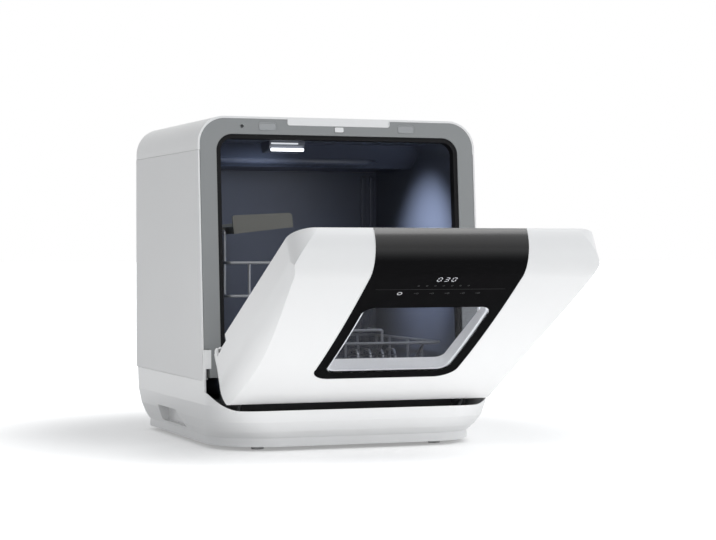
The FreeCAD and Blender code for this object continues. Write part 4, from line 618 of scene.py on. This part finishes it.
prints = bmesh.new()
for step in range(7):
    add_ring(prints, MARK_START + step * MARK_PITCH, MARK_UP, 0.0011, MARK_STROKE)
for step in range(5):
    key_x = KEY_START + step * KEY_PITCH
    add_dash(prints, key_x - 0.0018, KEY_UP, 0.0022, 0.0009)
    add_ring(prints, key_x + 0.0016, KEY_UP, 0.0014, MARK_STROKE)
lay_on_band(prints, 0, 0)
piece("touch_marks", prints, dim_print, "door")
rule = bmesh.new()
made = bmesh.ops.create_grid(rule, x_segments=24, y_segments=1, size=0.5)["verts"]
bmesh.ops.scale(rule, verts=made, vec=(LINE_LONG, LINE_THICK, 1))
lay_on_band(rule, 0.001, LINE_UP)
piece("touch_line", rule, dim_print, "door")
print("touch marks: 7 small, 1 ring, 5 keys and a line")

# %% [markdown]
# ## Bright edge along the band
# The white moulding has a small round edge where it meets the band, and it catches the
# light as a thin line down both sides. A thin bead follows that edge: rays toward the
# moulding find its roll and its face, and a tube is drawn through the points found.

# %% Edge beads
NOSE_BACK = 0.044
NOSE_UP = 0.338
BEAD_RADIUS = 0.0006
BEAD_INSET = 0.00035
BEAD_BESIDE = 0.0008
BEAD_FOOT = 0.106
ROLL_STEPS = 14
FACE_STEPS = 24
box_low, box_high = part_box("control_panel")
BAND_HALF = (box_high[0] - box_low[0]) / 2
shell_tree = BVHTree.FromObject(nodes["door_shell"], bpy.context.evaluated_depsgraph_get())


def edge_route(x):
    """Points over the roll and down the face of the white moulding at x."""
    route = []
    roll_centre = on_door(x, NOSE_BACK, NOSE_UP)
    for step in range(ROLL_STEPS + 1):
        turn = math.radians(90 * step / ROLL_STEPS)
        outward = DOOR_UP * math.cos(turn) - DOOR_BACK * math.sin(turn)
        hit, _, _, _ = shell_tree.ray_cast(roll_centre - outward * IN_FRONT, -outward)
        if hit:
            route.append(hit)
    for step in range(1, FACE_STEPS + 1):
        up = NOSE_UP - step * (NOSE_UP - BEAD_FOOT) / FACE_STEPS
        hit, _, _, _ = shell_tree.ray_cast(on_door(x, IN_FRONT, up), DOOR_BACK)
        if hit:
            route.append(hit)
    return route


for side, name in ((-1, "edge_bead_left"), (1, "edge_bead_right")):
    inward = Vector((side * -BEAD_INSET, 0, 0))
    route = [point + inward for point in edge_route(side * (BAND_HALF + BEAD_BESIDE))]
    tube(name, route, BEAD_RADIUS, 2, "door")

# %% [markdown]
# ## Tub lamp
# The lamp bar under the ceiling has a clear lens with light behind it. The lens is a
# bevelled bar along the housing's lower front edge, with a thinner strip above it. Two spot
# lamps just under it do the real lighting of the tub, because a small glowing mesh alone
# would be noisy. One points at the right wall, where the brightest patch of the tub lies,
# and a weak one washes the left part with blue.

# %% Lamp lens
lamp_low, lamp_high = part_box("tub_lamp")
LENS_TALL = 0.0045
LENS_MARGIN = 0.0015
LENS_DEEP = 0.004
LENS_PROUD = 0.0005
LENS_ROUNDING = 0.0012
STRIP_SHARE = 0.82
STRIP_SHIFT = 0.08
STRIP_DEEP = 0.0024
STRIP_TALL = 0.0022
STRIP_DROP = 0.0035
STRIP_PROUD = 0.0004
STRIP_ROUNDING = 0.0007
lamp_middle = (lamp_low[0] + lamp_high[0]) / 2
lens_length = lamp_high[0] - lamp_low[0] - 2 * LENS_MARGIN
lens = round_bar(
    (lens_length, LENS_DEEP, LENS_TALL),
    (lamp_middle, lamp_low[1] - LENS_PROUD, lamp_low[2] + LENS_TALL * 0.8), LENS_ROUNDING, 2)
piece("lamp_lens", lens, lens_light, "cabinet")
strip = round_bar(
    (lens_length * STRIP_SHARE, STRIP_DEEP, STRIP_TALL),
    (lamp_middle - lens_length * STRIP_SHIFT, lamp_low[1] - STRIP_PROUD,
     lamp_high[2] - STRIP_DROP), STRIP_ROUNDING, 2)
piece("lamp_upper_strip", strip, strip_light, "cabinet")
under_lamp = (lamp_middle + 0.01, lamp_low[1] - 0.004, lamp_low[2] - 0.012)
spot("tub_beam", under_lamp, (0.18, -0.06, 0.272), 58, 0.012, (0.84, 0.90, 1.0), 11.5)
spot("tub_wash", under_lamp, (-0.15, 0.15, 0.20), 120, 0.02, (0.72, 0.82, 1.0), 1.1)
print("lamp", [round(v, 4) for v in lamp_low], [round(v, 4) for v in lamp_high])

# %% [markdown]
# ## Ribs in the tub
# The moulded lining is stiffened by two upright ribs in its rear corner. Each is a long bar
# with rounded edges, partly sunk in the wall.

# %% Tub ribs
RIB_PLACES = (0.1535, 0.168)
RIB_WIDE = 0.0075
RIB_PROUD = 0.0035
RIB_SUNK = 0.001
RIB_LOW = 0.13
RIB_HIGH = 0.395
RIB_ROUNDING = 0.0016
tub_low, tub_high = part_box("tub")
TUB_WALL = 0.003
inner_rear = tub_high[1] - TUB_WALL
rib_size = (RIB_WIDE, RIB_PROUD + RIB_SUNK, RIB_HIGH - RIB_LOW)
for count, rib_x in enumerate(RIB_PLACES):
    rib_centre = (rib_x + RIB_WIDE / 2, inner_rear + (RIB_SUNK - RIB_PROUD) / 2,
                  (RIB_LOW + RIB_HIGH) / 2)
    rib = round_bar(rib_size, rib_centre, RIB_ROUNDING, 3)
    piece(f"rear_rib_{count}", rib, finishes["tub_lining"], "cabinet")
print("tub", [round(v, 3) for v in tub_low], [round(v, 3) for v in tub_high])

# %% [markdown]
# ## Ceiling bead
# Under the lamp the ceiling steps down on a slope. A round bead runs across the slope, made
# from a circle that is extruded along X and pinched at both ends.

# %% Ceiling bead
BEAD_X = (-0.166, 0.118)
BEAD_PLACE = (-0.006, 0.4112)
BEAD_THICK = 0.0042
BEAD_NECK = 0.006
BEAD_TAIL = 0.018
work = bmesh.new()
ring = bmesh.ops.create_circle(work, segments=14, radius=BEAD_THICK)["verts"]
bmesh.ops.rotate(work, verts=ring, cent=(0, 0, 0),
                 matrix=Matrix.Rotation(math.radians(90), 3, "Y"))
bmesh.ops.translate(work, verts=ring, vec=(BEAD_X[0], BEAD_PLACE[0], BEAD_PLACE[1]))
edges = work.edges[:]
bead_middle = BEAD_X[1] - BEAD_X[0] - BEAD_NECK - BEAD_TAIL
for travel, pinch in ((BEAD_NECK, 1.5), (bead_middle, 1.0), (BEAD_TAIL, 0.25)):
    grown = bmesh.ops.extrude_edge_only(work, edges=edges)["geom"]
    ring = [item for item in grown if isinstance(item, bmesh.types.BMVert)]
    edges = [item for item in grown if isinstance(item, bmesh.types.BMEdge)]
    bmesh.ops.translate(work, verts=ring, vec=(travel, 0, 0))
    centre = Vector((ring[0].co.x, BEAD_PLACE[0], BEAD_PLACE[1]))
    bmesh.ops.scale(work, verts=ring, vec=(1, pinch, pinch), space=Matrix.Translation(-centre))
bmesh.ops.holes_fill(work, edges=work.edges[:], sides=0)
ceiling_bead = piece("ceiling_bead", work, finishes["tub_lining"], "cabinet")
for face in ceiling_bead.data.polygons:
    face.use_smooth = len(face.vertices) == 4
print("ceiling bead", BEAD_X)

# %% [markdown]
# ## Rims of the catches
# The oval catches in the grey frame have a round rim that stands a hair proud. A
# round-cornered plate is inset and pushed in, which leaves the rim standing. It leans back
# with the frame, and is so thin that the closed door's strike plates clear it.

# %% Catch rims
FRAME_LEAN = math.radians(4.224)
RIM_PROUD = 0.0002
RIM_THICK = 0.0012
RIM_WIDE = 0.0013
RIM_STEP = 0.0008
RIM_CORNER = 0.0036


def catch_rim(name, node):
    """A rim round the face of one catch."""
    low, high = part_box(node)
    middle = (Vector(low) + Vector(high)) / 2
    work = round_plate(high[0] - low[0] - 0.001, RIM_THICK, high[2] - low[2] - 0.0022,
                       RIM_CORNER, 5)
    front = [face for face in work.faces if face.normal.y < -0.9]
    bmesh.ops.inset_region(work, faces=front, thickness=RIM_WIDE)
    bmesh.ops.translate(work, verts=list({vert for face in front for vert in face.verts}),
                        vec=(0, RIM_STEP, 0))
    bmesh.ops.rotate(work, verts=work.verts[:], cent=(0, 0, 0),
                     matrix=Matrix.Rotation(-FRAME_LEAN, 3, "X"))
    bmesh.ops.translate(work, verts=work.verts[:],
                        vec=(middle.x, low[1] + RIM_THICK / 2 - RIM_PROUD, middle.z))
    return piece(name, work, finishes["pale_grey"], "cabinet")


catch_rim("catch_rim_left", "catch_left")
catch_rim("catch_rim_right", "catch_right")

# %% [markdown]
# ## Screen behind the window
# The door's inner pane ends half way up. Above it the outer pane looks onto the back of the
# white inner moulding, so a dark screen lies there, and the closed door's window is dark
# from edge to edge. Two rays toward the moulding find the face that the screen lies on.

# %% Window screen
SCREEN_HALF = 0.0960
SCREEN_LOW = 0.1872
SCREEN_HIGH = 0.2860
SCREEN_THICK = 0.0008
PROBES_UP = (0.20, 0.27)
liner_tree = BVHTree.FromObject(nodes["door_liner"], bpy.context.evaluated_depsgraph_get())
face_low, face_high = [liner_tree.ray_cast(on_door(0, 0.005, up), DOOR_BACK)[0]
                       for up in PROBES_UP]
work = round_plate(2 * SCREEN_HALF, SCREEN_THICK, SCREEN_HIGH - SCREEN_LOW, 0.006, 4)
for vert in work.verts:
    up = (SCREEN_LOW + SCREEN_HIGH) / 2 + vert.co.z
    along = (up - PROBES_UP[0]) / (PROBES_UP[1] - PROBES_UP[0])
    on_face = face_low.lerp(face_high, along)
    vert.co = on_face + Vector((vert.co.x, 0, 0)) + DOOR_BACK * (vert.co.y - SCREEN_THICK)
piece("window_screen", work, finishes["dark_moulding"], "door")
print("window screen from", SCREEN_LOW, "to", SCREEN_HIGH, "m up the door")

# %% [markdown]
# ## Rim of the tongue
# The tongue in the middle of the top has a thin round edge along its foot and up both sides.
# A tube follows the outline of its front face, half sunk in it.

# %% Tongue rim
TONGUE_HALF = 0.077
TONGUE_FOOT = 0.4540
TONGUE_FACE = -0.1612
TONGUE_CORNER = 0.003
TONGUE_TOP = 0.4615
RIM_RADIUS = 0.00075
CORNER_STEPS = 6
rim_line = []
for side in (-1, 1):
    corner = []
    for step in range(CORNER_STEPS + 1):
        turn = math.radians(90 * step / CORNER_STEPS)
        corner.append((side * (TONGUE_HALF - TONGUE_CORNER + TONGUE_CORNER * math.cos(turn)),
                       TONGUE_FACE, TONGUE_FOOT + TONGUE_CORNER - TONGUE_CORNER * math.sin(turn)))
    corner.insert(0, (side * TONGUE_HALF, TONGUE_FACE, TONGUE_TOP))
    rim_line += corner if side < 0 else corner[::-1]
tube("tongue_rim", rim_line, RIM_RADIUS, 3, "cabinet")
